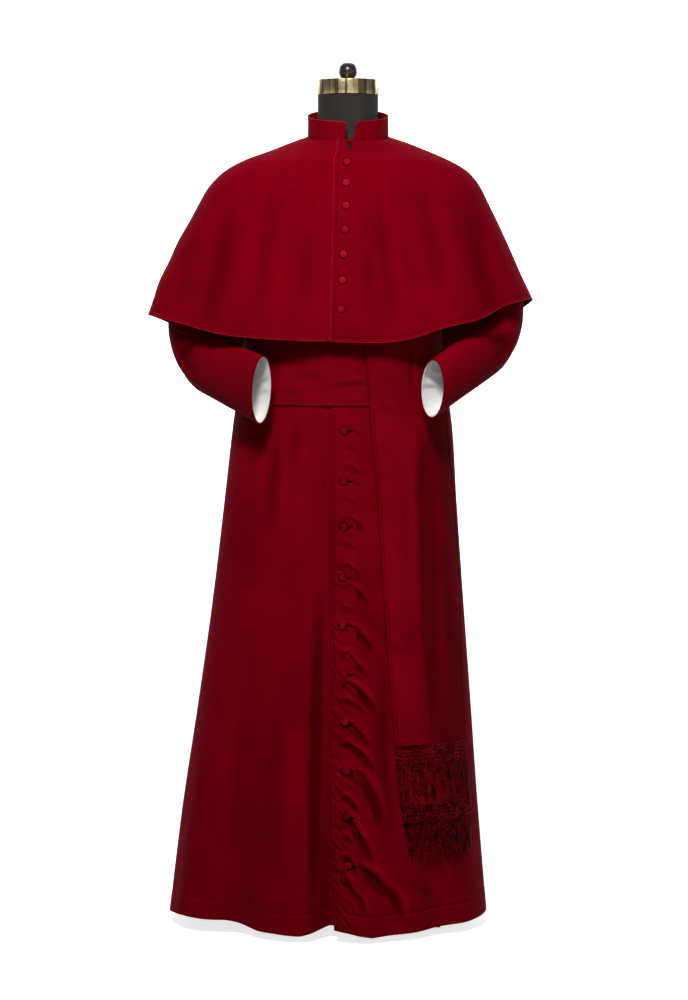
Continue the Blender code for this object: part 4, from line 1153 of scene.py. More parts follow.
# ---------------------------------------------------------------- sash
# Creases of the sash's band, and of its falls, by distance from the centre front and height
BAND_CREASES = rows_of(
    Crease,
    (-0.052, 1.030, 0.034, 1.037, 0.0050, -0.0026, 0.003),
    (-0.020, 1.020, 0.030, 1.018, 0.0060, -0.0012, 0.002),
    (-0.030, 0.967, 0.038, 0.971, 0.0048, -0.0030, 0.003),
    (-0.100, 0.985, -0.030, 0.978, 0.0070, -0.0012, 0.003),
    (-0.120, 1.010, -0.060, 1.004, 0.0080, -0.0014, 0.003),
    (-0.140, 0.960, -0.070, 0.950, 0.0060, -0.0012, 0.002),
    (0.005, 0.992, 0.040, 0.990, 0.0050, -0.0008, 0.001),
)
FRONT_FALL_CREASES = rows_of(
    Crease,
    (0.104, 1.050, 0.1060, 0.945, 0.0034, -0.0050, 0.001),
    (0.120, 0.900, 0.1400, 0.350, 0.0150, -0.0040, 0.004),
    (0.085, 0.880, 0.0960, 0.560, 0.0100, -0.0016, 0.003),
    (0.052, 0.935, 0.0800, 0.915, 0.0060, -0.0018, 0.001),
    (0.060, 0.520, 0.1000, 0.500, 0.0070, -0.0014, 0.002),
    (0.160, 0.700, 0.1720, 0.480, 0.0090, -0.0018, 0.002),
)
BACK_FALL_CREASES = (Crease(0.150, 0.900, 0.1700, 0.250, 0.0150, -0.0020, 0.004),)


def sash_out(turn):
    """How far the sash's middle lies out from the body: over the closing it clears both fronts."""
    over = ease((turn - closing_turn(SASH_LOW) + 8.0) / 7.0) * below(turn, UNDERLAP, LIFT_END)
    return SASH_EASE + LAYER + FRONT_LIFT * over


def make_band(silk):
    """Gives the grid of its outer face."""
    turns = np.concatenate(
        [
            steps_between(-180.0, -70.0, 2.2)[:-1],
            steps_between(-70.0, 70.0, FRONT_TURN)[:-1],
            steps_between(70.0, 180.0, 2.2)[:-1],
        ]
    )
    turn, share = np.meshgrid(turns, between_edges(SASH_HIGH - SASH_LOW, 0.026))
    z = SASH_LOW + (straight_column(SASH_TOP, "turn", "z", turn) - SASH_LOW) * share
    points, normals = grid_of(body(()), turn, z)
    from_foot = lengths_along(points, 0)
    from_top = from_foot[-1] - from_foot
    drawn = creased(points[..., 0], points[..., 2], BAND_CREASES) * (np.cos(np.radians(turn)) > 0.0)
    drawn = drawn * ease(from_foot / 0.012) * ease(from_top / 0.012)
    hems = turned_hem(from_foot, STITCH_PLACE) + turned_hem(from_top, STITCH_PLACE)
    # The crease shade is painted as deep as drawn, deeper than the cloth is pushed
    lies = {"middle": sash_out(turn), "push": np.maximum(drawn * 0.8, -0.0009) + hems, "fold": drawn + hems}
    return cloth("sash_round_waist", "sash_band", (points, normals), silk, closed=True, **lies)


def fall_turn(share, z):
    """The turn at a share of a fall's width, from its edge by the closing to its outer edge."""
    inner, outer = (
        turn_at(BODY, smooth_column(FALL_EDGES, "z", edge, z), z, "left") for edge in ("left_x", "right_x")
    )
    return inner + (outer - inner) * share


# The front fall bellies forward beside the closing, and falls back along a line down its length
StepLine = namedtuple("StepLine", "z x")
FALL_STEP = rows_of(
    StepLine,
    (0.342, 0.136),
    (0.560, 0.126),
    (0.760, 0.118),
    (0.860, 0.116),
    (0.935, 0.110),
)
FALL_STEP_HEIGHT = 0.0065
# A fall's usual width, which places the columns beside its edges
FALL_WIDTH = 0.125


def fold_step(x, z):
    """How far the front fall stands out inside its line, a little more or less down its length."""
    line = smooth_column(FALL_STEP, "z", "x", z) + 0.0015 * np.sin(z * 31.0)
    grown = FALL_STEP_HEIGHT * below(z, 0.835, 0.925) * (0.75 + 0.25 * np.cos(z * 9.0))
    return grown * ease((x - 0.060) / 0.030) * below(x, line - 0.007, line + 0.007)


def make_falls(silk):
    """Gives the grids of both falls' outer faces, the front one's first."""
    skins = []
    for fall, creases in zip(FALLS, (FRONT_FALL_CREASES, BACK_FALL_CREASES)):
        share, z = np.meshgrid(between_edges(FALL_WIDTH, 0.030), steps_between(fall.foot, SASH_HIGH, ROW_STEP))
        points, normals = grid_of(body(()), fall_turn(share, z), z)
        x = points[..., 0]
        from_left = lengths_along(points, 1)
        from_right = from_left[:, -1:] - from_left
        drawn = creased(x, z, creases) * ease(from_right / 0.01) * ease(from_left / 0.006)
        push = np.maximum(drawn, -0.0007)
        if fall.name == "front":
            push = push + fold_step(x, z) * ease(from_left / 0.012) * ease(from_right / 0.006)
            # Painted shade on the front fall beyond its step line, and a faint painted highlight inside it
            line = smooth_column(FALL_STEP, "z", "x", z)
            drawn = drawn + 0.0006 - 0.0034 * ease((x - line) / 0.012) * below(z, 0.85, 0.93)
        # The stitched edges pucker along their length
        pucker = 0.0005 * np.sin(z * 2.0 * np.pi / 0.0135 + 2.0 * np.sin(z * 40.0))
        push = push + pucker * np.exp(-(((from_left - 0.004) / 0.004) ** 2)) * (z < 0.90)
        push = push + turned_hem(from_left, STITCH_PLACE) + turned_hem(from_right, STITCH_PLACE)
        # The crease shade is painted as deep as drawn, deeper than the cloth is pushed, with painted shade
        # along the left edge
        fold = drawn - EDGE_SHADE * np.exp(-((from_left / 0.0035) ** 2))
        lies = {"middle": SASH_EASE + fall.layers * LAYER, "push": push, "fold": fold}
        skins.append(cloth(f"{fall.name}_fall", f"fall_{fall.name}", (points, normals), silk, **lies))
    return skins


# ---------------------------------------------------------------- knotted fringes
FRINGE_CORDS = 62
CORD_THICK = 0.00095
CORD_SIDES = 5
# The net's rows of knots, and how far below each other they are
KNOT_ROWS = 5
KNOT_PITCH = 0.0066
# Half a knot's size across, up and out from the cloth
KNOT_SIZE = (0.0014, 0.0016, 0.0013)


def fringe_place(share, z, out):
    """Places on a fall's surface, and the directions that point out from it."""
    points, normals = grid_of(body(()), fall_turn(share, z), z)
    return points + normals * np.asarray(out)[..., None], normals


def make_fringes(silk, knot_silk):
    """A netted heading of small knots in a diamond pattern, and loose cords that hang from its last row."""
    for number, fall in enumerate(FALLS):
        rng = np.random.default_rng(40 + number)
        bm, layer = new_tubes()
        middle = SASH_EASE + fall.layers * LAYER
        knots = {}
        for k in range(FRINGE_CORDS):
            shares, heights, outs = [], [], []
            for row in range(KNOT_ROWS):
                pair = (k + row % 2) // 2
                share = (2 * pair + 0.5 - row % 2) / (FRINGE_CORDS - 1)
                share = min(max(share, 0.012), 0.988) + rng.normal(0.0, 0.0035)
                height = fall.foot - 0.0020 - KNOT_PITCH * row + rng.normal(0.0, 0.0008)
                knots[(row, pair)] = (share, height)
                shares.append(share + (0.0016 if k % 2 else -0.0016))
                heights.append(height)
                outs.append(middle + 0.0002)
            start = (k + 0.5) / FRINGE_CORDS
            sway, curl = rng.normal(0.0, 0.018), rng.normal(0.0, 0.016)
            clump = 0.018 * math.sin(k * 0.9 + number) + 0.012 * math.sin(k * 0.37 + 1.3)
            last, end = heights[-1], fall.fringe_end + rng.uniform(-0.004, 0.022)
            for down in np.linspace(0.08, 1.0, 18):
                waved = curl * math.sin(down * 7.0 + k) * down + 0.010 * math.sin(down * 19.0 + 2.7 * k) * down
                shares.append(start + (sway + clump) * down**1.5 + waved)
                heights.append(last + (end - last) * down)
                outs.append(middle + 0.0008 * math.sin(k * 2.1 + 3.0 * down) + 0.0002)
            place, normals = fringe_place(np.clip(shares, 0.004, 0.996), np.array(heights), outs)
            thick = np.full(len(shares), CORD_THICK * rng.uniform(0.75, 1.2))
            thick[-1] *= 0.55
            tube(bm, layer, place, thick, CORD_SIDES, normals)
        for share, height in knots.values():
            place, normals = fringe_place(np.array([share]), np.array([height]), [middle + 0.0006])
            made = bmesh.ops.create_icosphere(bm, subdivisions=1, radius=1.0)
            frame = turned_to(place[0], normals[0], rng.uniform(-0.5, 0.5))
            bmesh.ops.transform(bm, matrix=frame @ Matrix.Diagonal((*KNOT_SIZE, 1.0)), verts=made["verts"])
            for face in {face for vert in made["verts"] for face in vert.link_faces}:
                face.material_index = 1
        piece = finish_bmesh(bm, f"{fall.name}_fringe", silk, smooth=70.0, node=f"fringe_{fall.name}")
        piece.data.materials.append(knot_silk)


# ---------------------------------------------------------------- finishes
# The dyes of the wool and the silk, the painted shade of their creases and of the skirt's foot, the painted
# highlight of their ridges, and the pink of their nap where light grazes it
WOOL_DEEP = "#72000e"
WOOL_BRIGHT = "#860112"
WOOL_YARN = "#9c041d"
WOOL_LINT = "#9a1830"
WOOL_STREAK_AND_PAINTED_FOOT_SHADE = "#550009"
WOOL_PAINTED_CREASE_SHADE = "#380005"
WOOL_PAINTED_RIDGE_HIGHLIGHT = "#a0041c"
SILK_PAINTED_CREASE_SHADE = "#4a0008"
WOOL_SHEEN = "#d0105a"
SILK_SLUB_AND_PAINTED_RIDGE_HIGHLIGHT = "#9c0720"
SILK_SHEEN = "#e0305f"

# A second colour laid over a finish: its strength runs from at_low to at_high as its pattern goes from low
# to high
Tint = namedtuple("Tint", "code pattern low high at_low at_high", defaults=(0.0, 1.0))


def light_value(channel):
    return channel / 12.92 if channel <= 0.04045 else ((channel + 0.055) / 1.055) ** 2.4


def colour(code):
    """A colour written as the web writes it, as the linear values that shading works in."""
    return tuple(light_value(int(code[k : k + 2], 16) / 255.0) for k in (1, 3, 5)) + (1.0,)


def finish_start(name):
    """A new material, with one function that adds a node and one that sets the shader and ends it."""
    material = bpy.data.materials.new(name)
    material.use_nodes = True
    tree = material.node_tree
    shader = next(node for node in tree.nodes if node.type == "BSDF_PRINCIPLED")

    def fill(node, inputs):
        # i0, i1 and so on count the sockets; in other names _ stands for a space
        for key, value in inputs.items():
            counted = key[0] == "i" and key[1:].isdigit()
            socket = node.inputs[int(key[1:]) if counted else key.replace("_", " ")]
            if isinstance(value, bpy.types.NodeSocket):
                tree.links.new(value, socket)
            else:
                socket.default_value = value

    def add(kind, output=0, settings=None, **inputs):
        node = tree.nodes.new(kind)
        for key, value in (settings or {}).items():
            setattr(node, key, value)
        fill(node, inputs)
        return node.outputs[output]

    def finished(**inputs):
        fill(shader, inputs)
        return material

    return add, finished


def tinted(add, base, *tints):
    """Lays tints over a base colour, each as strong as its own pattern is at that place."""
    base = colour(base)
    for tint in rows_of(Tint, *tints):
        share = add(
            "ShaderNodeMapRange", i0=tint.pattern, i1=tint.low, i2=tint.high, i3=tint.at_low, i4=tint.at_high
        )
        base = add("ShaderNodeMix", 2, {"data_type": "RGBA"}, i0=share, i6=base, i7=colour(tint.code))
    return base


def ribs(add, place, pitch, *direction):
    """Even ribs that rise and fall once in each pitch along a direction."""
    turns = [part * 2.0 * math.pi / pitch for part in direction]
    along = add("ShaderNodeVectorMath", 1, {"operation": "DOT_PRODUCT"}, i0=place, i1=turns)
    return add("ShaderNodeMath", 0, {"operation": "SINE"}, i0=along)


def painted_crease_shade_and_highlight(add, trough, ridge):
    """Painted shade darkens the colour down in a crease; a painted highlight brightens the ridge beside it."""
    fold = add("ShaderNodeAttribute", "Fac", {"attribute_name": "fold"})
    return (trough, fold, -3.0, -0.3, 0.62, 0.0), (ridge, fold, 0.35, 1.8, 0.0, 0.45)


def wool_finish():
    """Fine crimson wool: a close diagonal weave under a short nap that catches pink light at its edges."""
    add, finished = finish_start("crimson_wool_cloth")
    place = add("ShaderNodeUVMap", 0, {"uv_map": "cloth"})
    spot = add("ShaderNodeTexCoord", "Object")
    # Dyed wool is cloudy over a hand's width
    cloud = add("ShaderNodeTexNoise", Vector=spot, Scale=7.0, Detail=3.0, Roughness=0.55)
    # Single yarns about 1.2 mm wide (coarser than the real 0.5 mm, to show at this distance)
    yarn = add("ShaderNodeTexNoise", Vector=spot, Scale=900.0, Detail=2.0, Roughness=0.7)
    # Soft upright bands where the cloth hung and was pressed, some 25 mm wide and half a metre long
    banded = add("ShaderNodeMapping", i0=spot, i3=(38.0, 38.0, 1.8))
    band = add("ShaderNodeTexNoise", Vector=banded, Scale=1.0, Detail=3.0, Roughness=0.6)
    lint = add("ShaderNodeTexVoronoi", "Distance", Vector=spot, Scale=95.0)
    height = add("ShaderNodeSeparateXYZ", 2, i0=spot)
    base = tinted(
        add,
        WOOL_DEEP,
        (WOOL_BRIGHT, cloud, 0.33, 0.67),
        (WOOL_YARN, yarn, 0.35, 0.70, 0.0, 0.34),
        (WOOL_STREAK_AND_PAINTED_FOOT_SHADE, band, 0.42, 0.70, 0.0, 0.17),
        (WOOL_LINT, lint, 0.020, 0.055, 0.18, 0.0),
        # Painted shade: the colour is painted a little darker towards the foot of the skirt
        (WOOL_STREAK_AND_PAINTED_FOOT_SHADE, height, 0.0, 0.95, 0.24, 0.0),
        # Painted shade down in creases and painted highlight on the ridges beside them
        *painted_crease_shade_and_highlight(add, WOOL_PAINTED_CREASE_SHADE, WOOL_PAINTED_RIDGE_HIGHLIGHT),
    )
    # Twill ribs 1.6 mm apart (real ones are 0.8 mm; coarser to show), then yarn, then nap
    twill = ribs(add, place, 0.0016, 1.0, 0.75, 0.0)
    weave = add("ShaderNodeMath", 0, {"operation": "MULTIPLY_ADD"}, i0=twill, i1=0.5, i2=yarn)
    nap = add("ShaderNodeTexNoise", Vector=spot, Scale=210.0, Detail=4.0, Roughness=0.7)
    # Slight handling creases, 30 to 60 mm long
    handled = add("ShaderNodeTexNoise", Vector=spot, Scale=26.0, Detail=3.0, Roughness=0.5)
    # Beside the buttoned edge the wool is puckered: slanting wrinkles about 6 mm apart and 25 mm long
    slanted = add("ShaderNodeMapping", i0=spot, i2=(0.0, math.radians(-50.0), 0.0))
    drawn = add("ShaderNodeMapping", i0=slanted, i3=(34.0, 34.0, 125.0))
    wrinkle = add("ShaderNodeTexNoise", Vector=drawn, Scale=1.0, Detail=2.0, Roughness=0.5)
    crumple = add("ShaderNodeAttribute", "Fac", {"attribute_name": "crumple"})
    puckered = add("ShaderNodeMath", 0, {"operation": "MULTIPLY"}, i0=wrinkle, i1=crumple)
    woven = add("ShaderNodeBump", Strength=0.20, Distance=0.0004, Height=weave)
    napped = add("ShaderNodeBump", Strength=0.30, Distance=0.0008, Height=nap, Normal=woven)
    creases = add("ShaderNodeBump", Strength=0.22, Distance=0.0030, Height=handled, Normal=napped)
    return finished(
        Base_Color=base,
        Roughness=add("ShaderNodeMapRange", i0=yarn, i1=0.3, i2=0.7, i3=0.72, i4=0.92),
        Normal=add("ShaderNodeBump", Strength=1.0, Distance=0.0110, Height=puckered, Normal=creases),
        Specular_IOR_Level=0.035,
        Specular_Tint=colour("#c01030"),
        Sheen_Weight=0.13,
        Sheen_Roughness=0.40,
        Sheen_Tint=colour(WOOL_SHEEN),
    )


def silk_finish(name, deep, bright, rib, gloss):
    """Ribbed crimson silk: close ribs across the band, a soft gloss, and a brighter pink sheen."""
    add, finished = finish_start(name)
    place = add("ShaderNodeUVMap", 0, {"uv_map": "cloth"})
    spot = add("ShaderNodeTexCoord", "Object")
    cloud = add("ShaderNodeTexNoise", Vector=spot, Scale=11.0, Detail=3.0, Roughness=0.5)
    # Slubs in the silk: long thin streaks along the ribs
    stretched = add("ShaderNodeMapping", i0=place, i3=(40.0, 900.0, 1.0))
    slub = add("ShaderNodeTexNoise", Vector=stretched, Scale=1.0, Detail=2.0, Roughness=0.6)
    tints = (bright, cloud, 0.35, 0.65), (SILK_SLUB_AND_PAINTED_RIDGE_HIGHLIGHT, slub, 0.40, 0.72, 0.0, 0.28)
    # Real ribs are about 0.7 mm apart; these are coarser to show
    across = ribs(add, place, rib, 0.0, 1.0, 0.0)
    ribbed = add("ShaderNodeBump", Strength=0.24, Distance=0.0004, Height=across)
    return finished(
        # Base colour with painted shade in creases and painted highlight on ridges
        Base_Color=tinted(add, deep, *tints, *painted_crease_shade_and_highlight(add, SILK_PAINTED_CREASE_SHADE, SILK_SLUB_AND_PAINTED_RIDGE_HIGHLIGHT)),
        Roughness=add("ShaderNodeMapRange", i0=slub, i1=0.3, i2=0.7, i3=0.46, i4=0.66),
        Normal=add("ShaderNodeBump", Strength=0.22, Distance=0.0006, Height=slub, Normal=ribbed),
        Specular_IOR_Level=gloss,
        Specular_Tint=colour("#e02040"),
        Sheen_Weight=0.05,
        Sheen_Roughness=0.35,
        Sheen_Tint=colour(SILK_SHEEN),
    )


def cord_finish(name, deep, bright):
    """Twisted silk cord of the fringe: dark crimson with the turns of the twist and a low shine."""
    add, finished = finish_start(name)
    spot = add("ShaderNodeTexCoord", "Object")
    uneven = add("ShaderNodeTexNoise", Vector=spot, Scale=70.0, Detail=2.0, Roughness=0.6)
    # Painted highlights: single turns of the twist, 2 to 3 mm long, painted bright as if they caught the light
    glint = add("ShaderNodeTexNoise", Vector=spot, Scale=290.0, Detail=1.0, Roughness=0.5)
    # The twist goes once round in about 3 mm
    twist = ribs(add, spot, 0.003, 1.4, 0.0, 1.0)
    return finished(
        Base_Color=tinted(add, deep, (bright, uneven, 0.40, 0.62), ("#b4122c", glint, 0.60, 0.68, 0.0, 0.75)),
        Normal=add("ShaderNodeBump", Strength=0.5, Distance=0.0003, Height=twist),
        Roughness=add("ShaderNodeMapRange", i0=uneven, i1=0.3, i2=0.7, i3=0.45, i4=0.65),
        Specular_IOR_Level=0.08,
        Specular_Tint=colour("#ff3050"),
        Sheen_Weight=0.02,
        Sheen_Tint=colour(SILK_SHEEN),
    )


def thread_finish(name, deep, bright):
    """Dark sewing silk, which shows as a fine line sunk into the cloth."""
    add, finished = finish_start(name)
    spot = add("ShaderNodeTexCoord", "Object")
    uneven = add("ShaderNodeTexNoise", Vector=spot, Scale=300.0, Detail=2.0, Roughness=0.6)
    return finished(
        Base_Color=tinted(add, deep, (bright, uneven, 0.3, 0.7)),
        Normal=add("ShaderNodeBump", Strength=0.4, Distance=0.0002, Height=uneven),
        Roughness=add("ShaderNodeMapRange", i0=uneven, i1=0.3, i2=0.7, i3=0.42, i4=0.60),
        Specular_IOR_Level=0.05,
        Specular_Tint=colour("#e02040"),
    )


def piping_finish():
    """Silk piping cord on the edges, a little pinker than the wool."""
    add, finished = finish_start("crimson_silk_piping")
    spot = add("ShaderNodeTexCoord", "Object")
    uneven = add("ShaderNodeTexNoise", Vector=spot, Scale=120.0, Detail=3.0, Roughness=0.6)
    # Strands of the cord, just under 1 mm wide
    fine = add("ShaderNodeTexNoise", Vector=spot, Scale=1300.0, Detail=2.0, Roughness=0.6)
    return finished(
        Base_Color=tinted(add, "#8c0518", ("#b01030", uneven, 0.3, 0.7)),
        Normal=add("ShaderNodeBump", Strength=0.35, Distance=0.0003, Height=fine),
        Roughness=add("ShaderNodeMapRange", i0=fine, i1=0.3, i2=0.7, i3=0.50, i4=0.70),
        Specular_IOR_Level=0.10,
        Specular_Tint=colour("#ff4060"),
        Sheen_Weight=0.05,
        Sheen_Tint=colour(SILK_SHEEN),
    )


def cotton_finish():
    """White lining cotton: plain weave, soft, slightly grey in its folds."""
    add, finished = finish_start("white_lining_cotton")
    place = add("ShaderNodeUVMap", 0, {"uv_map": "cloth"})
    spot = add("ShaderNodeTexCoord", "Object")
    cloud = add("ShaderNodeTexNoise", Vector=spot, Scale=30.0, Detail=3.0, Roughness=0.55)
    # Plain weave of 1 mm squares (coarser than the real 0.4 mm, to show)
    warp, weft = ribs(add, place, 0.001, 1.0, 0.0, 0.0), ribs(add, place, 0.001, 0.0, 1.0, 0.0)
    weave = add("ShaderNodeMath", 0, {"operation": "ADD"}, i0=warp, i1=weft)
    woven = add("ShaderNodeBump", Strength=0.2, Distance=0.0003, Height=weave)
    return finished(
        Base_Color=tinted(add, "#ecebe9", ("#fbfaf9", cloud, 0.3, 0.7)),
        Normal=add("ShaderNodeBump", Strength=0.4, Distance=0.0020, Height=cloud, Normal=woven),
        Roughness=add("ShaderNodeMapRange", i0=cloud, i1=0.3, i2=0.7, i3=0.75, i4=0.90),
        Sheen_Weight=0.2,
    )


def jersey_finish():
    """Dark grey jersey over the dress form: fine rows of knitting and a matt, dusty nap."""
    add, finished = finish_start("dark_grey_form_jersey")
    spot = add("ShaderNodeTexCoord", "Object")
    cloud = add("ShaderNodeTexNoise", Vector=spot, Scale=22.0, Detail=4.0, Roughness=0.55)
    fine = add("ShaderNodeTexNoise", Vector=spot, Scale=700.0, Detail=2.0, Roughness=0.6)
    # Rows of knitting 1.4 mm high (coarser than the real 0.8 mm, to show)
    rows = ribs(add, spot, 0.0014, 0.0, 0.0, 1.0)
    knitted = add("ShaderNodeBump", Strength=0.25, Distance=0.0003, Height=rows)
    tints = ("#35312d", cloud, 0.3, 0.7), ("#4b4640", fine, 0.45, 0.75, 0.0, 0.4)
    return finished(
        Base_Color=tinted(add, "#24211e", *tints),
        Normal=add("ShaderNodeBump", Strength=0.30, Distance=0.0004, Height=fine, Normal=knitted),
        Roughness=add("ShaderNodeMapRange", i0=fine, i1=0.3, i2=0.7, i3=0.78, i4=0.95),
        Specular_IOR_Level=0.15,
        Sheen_Weight=0.05,
    )


def brass_finish():
    """Turned and polished brass: fine rings left by the lathe, faint tarnish and finger marks."""
    add, finished = finish_start("polished_brass")
    spot = add("ShaderNodeTexCoord", "Object")
    tarnish = add("ShaderNodeTexNoise", Vector=spot, Scale=45.0, Detail=5.0, Roughness=0.6)
    # Painted reflections: dark upright streaks about 5 mm wide, painted into the colour where the polished
    # band would mirror the studio
    upright = add("ShaderNodeMapping", i0=spot, i3=(105.0, 60.0, 3.0))
    streak = add("ShaderNodeTexNoise", Vector=upright, Scale=1.0, Detail=2.0, Roughness=0.5)
    marks = add("ShaderNodeTexNoise", Vector=spot, Scale=180.0, Detail=4.0, Roughness=0.7)
    # Lathe rings 0.7 mm apart (coarser than real ones, to show)
    rings = ribs(add, spot, 0.0007, 0.0, 0.0, 1.0)
    turned = add("ShaderNodeBump", Strength=0.05, Distance=0.0002, Height=rings)
    tints = ("#b39d6b", tarnish, 0.40, 0.66), ("#3a3020", streak, 0.47, 0.56, 0.0, 0.86)
    return finished(
        Base_Color=tinted(add, "#dccb9f", *tints),
        Metallic=1.0,
        Roughness=add("ShaderNodeMapRange", i0=marks, i1=0.3, i2=0.7, i3=0.24, i4=0.42),
        Normal=add("ShaderNodeBump", Strength=0.06, Distance=0.0003, Height=marks, Normal=turned),
    )


def knob_finish():
    """Black lacquered wood of the knob: a hard clear gloss over faint grain."""
    add, finished = finish_start("black_lacquered_wood")
    spot = add("ShaderNodeTexCoord", "Object")
    # Grain about 4 mm wide and 30 mm long
    stretched = add("ShaderNodeMapping", i0=spot, i3=(260.0, 260.0, 35.0))
    grain = add("ShaderNodeTexNoise", Vector=stretched, Scale=1.0, Detail=4.0, Roughness=0.6)
    return finished(
        Base_Color=tinted(add, "#1a1612", ("#2a2520", grain, 0.35, 0.65)),
        Roughness=add("ShaderNodeMapRange", i0=grain, i1=0.3, i2=0.7, i3=0.30, i4=0.42),
        Normal=add("ShaderNodeBump", Strength=0.12, Distance=0.0003, Height=grain),
        Coat_Weight=0.35,
        Coat_Roughness=0.16,
    )


def enamel_finish():
    """Black enamelled steel: baked paint with a slight orange-peel skin and rubbed, duller patches."""
    add, finished = finish_start("black_enamelled_steel")
    spot = add("ShaderNodeTexCoord", "Object")
    worn = add("ShaderNodeTexNoise", Vector=spot, Scale=35.0, Detail=5.0, Roughness=0.6)
    # The skin's dimples are about 2.5 mm across
    peel = add("ShaderNodeTexNoise", Vector=spot, Scale=420.0, Detail=2.0, Roughness=0.5)
    return finished(
        Base_Color=tinted(add, "#0e0e0f", ("#1e1d1d", worn, 0.4, 0.7)),
        Normal=add("ShaderNodeBump", Strength=0.10, Distance=0.0003, Height=peel),
        Roughness=add("ShaderNodeMapRange", i0=worn, i1=0.3, i2=0.7, i3=0.34, i4=0.52),
        Specular_IOR_Level=0.18,
    )


def paper_finish():
    """Plain white background paper with the faintest tooth, also lit from behind so that it stays white."""
    add, finished = finish_start("white_background_paper")
    spot = add("ShaderNodeTexCoord", "Object")
    # The tooth is some 15 mm wide, coarser than real paper's, to show at all
    tooth = add("ShaderNodeTexNoise", Vector=spot, Scale=60.0, Detail=3.0, Roughness=0.6)
    white = tinted(add, "#f4f4f5", ("#fafafb", tooth, 0.3, 0.7))
    return finished(
        Base_Color=white,
        Roughness=add("ShaderNodeMapRange", i0=tooth, i1=0.3, i2=0.7, i3=0.88, i4=0.96),
        Normal=add("ShaderNodeBump", Strength=0.05, Distance=0.0005, Height=tooth),
        Emission_Color=white,
        Emission_Strength=0.82,
    )


# ---------------------------------------------------------------- edges, piping and stitching
PIPING_RADIUS = 0.0011
BUTTONHOLE_LENGTH = 0.0125
BUTTONHOLE_THICK = 0.00065


def make_piping(silk, cape_left, hem_right, collar_top):
    """Silk cord on the cape's front edge and hem, and on the collar's upper edge."""
    skin, normals = cape_left
    in_edge = skin - normals * (CLOTH / 2 - 0.0002)
    hem, outward = hem_right
    hem = hem + outward * 0.0003
    shown = hem[:, 0] < in_edge[0, 0, 0] - 0.006
    top, top_out = collar_top
    paths = [
        (in_edge[:, 0], normals[:, 0]),
        (in_edge[0], normals[0]),
        (hem[shown], outward[shown]),
        (top + top_out * 0.0002 + np.array((0.0, 0.0, PIPING_RADIUS * 0.6)), top_out),
    ]
    tubes("edge_piping", paths, PIPING_RADIUS, silk, sides=7)


def sewn_line(grid, edge, want):
    """The line on a cloth's face at a distance from one of its edges: side, foot or top."""
    if edge == "top":
        grid = [part[::-1] for part in grid]
    if edge != "side":
        grid = [np.swapaxes(part, 0, 1) for part in grid]
    distance = lengths_along(grid[0], 1)
    place, out = (
        np.array([[np.interp(want, at, row[:, c]) for c in range(3)] for at, row in zip(distance, part)])
        for part in grid
    )
    return place, unit(out)


def make_stitching(thread, front, cape_left, band, fall):
    """Topstitching beside the front edge, above the skirt's hem and beside the cape's and sash's edges."""
    beside = STITCH_PLACE + 0.0008
    lines = [
        (*sewn_line(front, "side", beside), body_rows() < SASH_LOW - 0.004),
        (*sewn_line(front, "foot", HEM_WIDTH + 0.0008), slice(None)),
        (*sewn_line(cape_left, "side", beside), slice(None)),
        (*sewn_line(cape_left, "foot", beside), slice(None)),
    ]
    for edge in ("foot", "top"):
        place, out = sewn_line(band, edge, STITCH_PLACE + 0.0006)
        lines.append((place, out, place[:, 1] < 0.0))
    place, out = sewn_line(fall, "side", beside)
    lines.append((place, out, place[:, 2] < SASH_LOW))
    stitches("topstitching", [(place[shown], out[shown]) for place, out, shown in lines], thread)


def make_buttonholes(thread):
    """Worked buttonholes beside the front buttons: a slit between two raised rows of thread."""
    angle = 2.0 * np.pi * np.arange(17) / 16
    paths = []
    for spot in FRONT_BUTTONS:
        x = spot.x + 0.0085 + BUTTONHOLE_LENGTH * (0.5 * np.cos(angle) + 0.1)
        z = spot.z + 0.0011 * np.sin(angle)
        points, normals, lift, push = left_front_places(turn_at(BODY, x, z), z)
        paths.append((points + normals * (lift + push + CLOTH / 2 + 0.0001)[..., None], normals))
    tubes("worked_buttonholes", paths, BUTTONHOLE_THICK, thread)


# ---------------------------------------------------------------- buttons
# The ring of dark thread round each button's seat, partly a real thread ring and partly a painted shadow round
# the button
SEAT_RADIUS = 0.0074
SEAT_THICK = 0.0008


def modelled(name, finish):
    """Names the object that has just been made with the modelling tools and gives it its finish."""
    piece = bpy.context.object
    piece.name = piece.data.name = name
    piece.data.materials.clear()
    piece.data.materials.append(finish)
    return piece


def choose_faces(piece, facing):
    """Selects the faces that look up (1) or down (-1), ready for editing."""
    bpy.ops.object.mode_set(mode="EDIT")
    bpy.ops.mesh.select_mode(type="FACE")
    bpy.ops.mesh.select_all(action="DESELECT")
    bpy.ops.object.mode_set(mode="OBJECT")
    for face in piece.data.polygons:
        face.select = face.normal.z * facing > 0.9
    bpy.ops.object.mode_set(mode="EDIT")


def rounded(piece, name, width, segments, from_angle, smooth=180.0):
    """Ends the modelling of a piece: its sharp edges are bevelled and its faces shaded smooth."""
    bpy.ops.object.mode_set(mode="OBJECT")
    bevel = piece.modifiers.new(name, "BEVEL")
    bevel.width = width
    bevel.segments = segments
    bevel.limit_method = "ANGLE"
    bevel.angle_limit = math.radians(from_angle)
    bpy.ops.object.modifier_apply(modifier=name)
    bpy.ops.object.transform_apply(location=True, rotation=True, scale=True)
    bpy.ops.object.shade_smooth_by_angle(angle=math.radians(smooth))


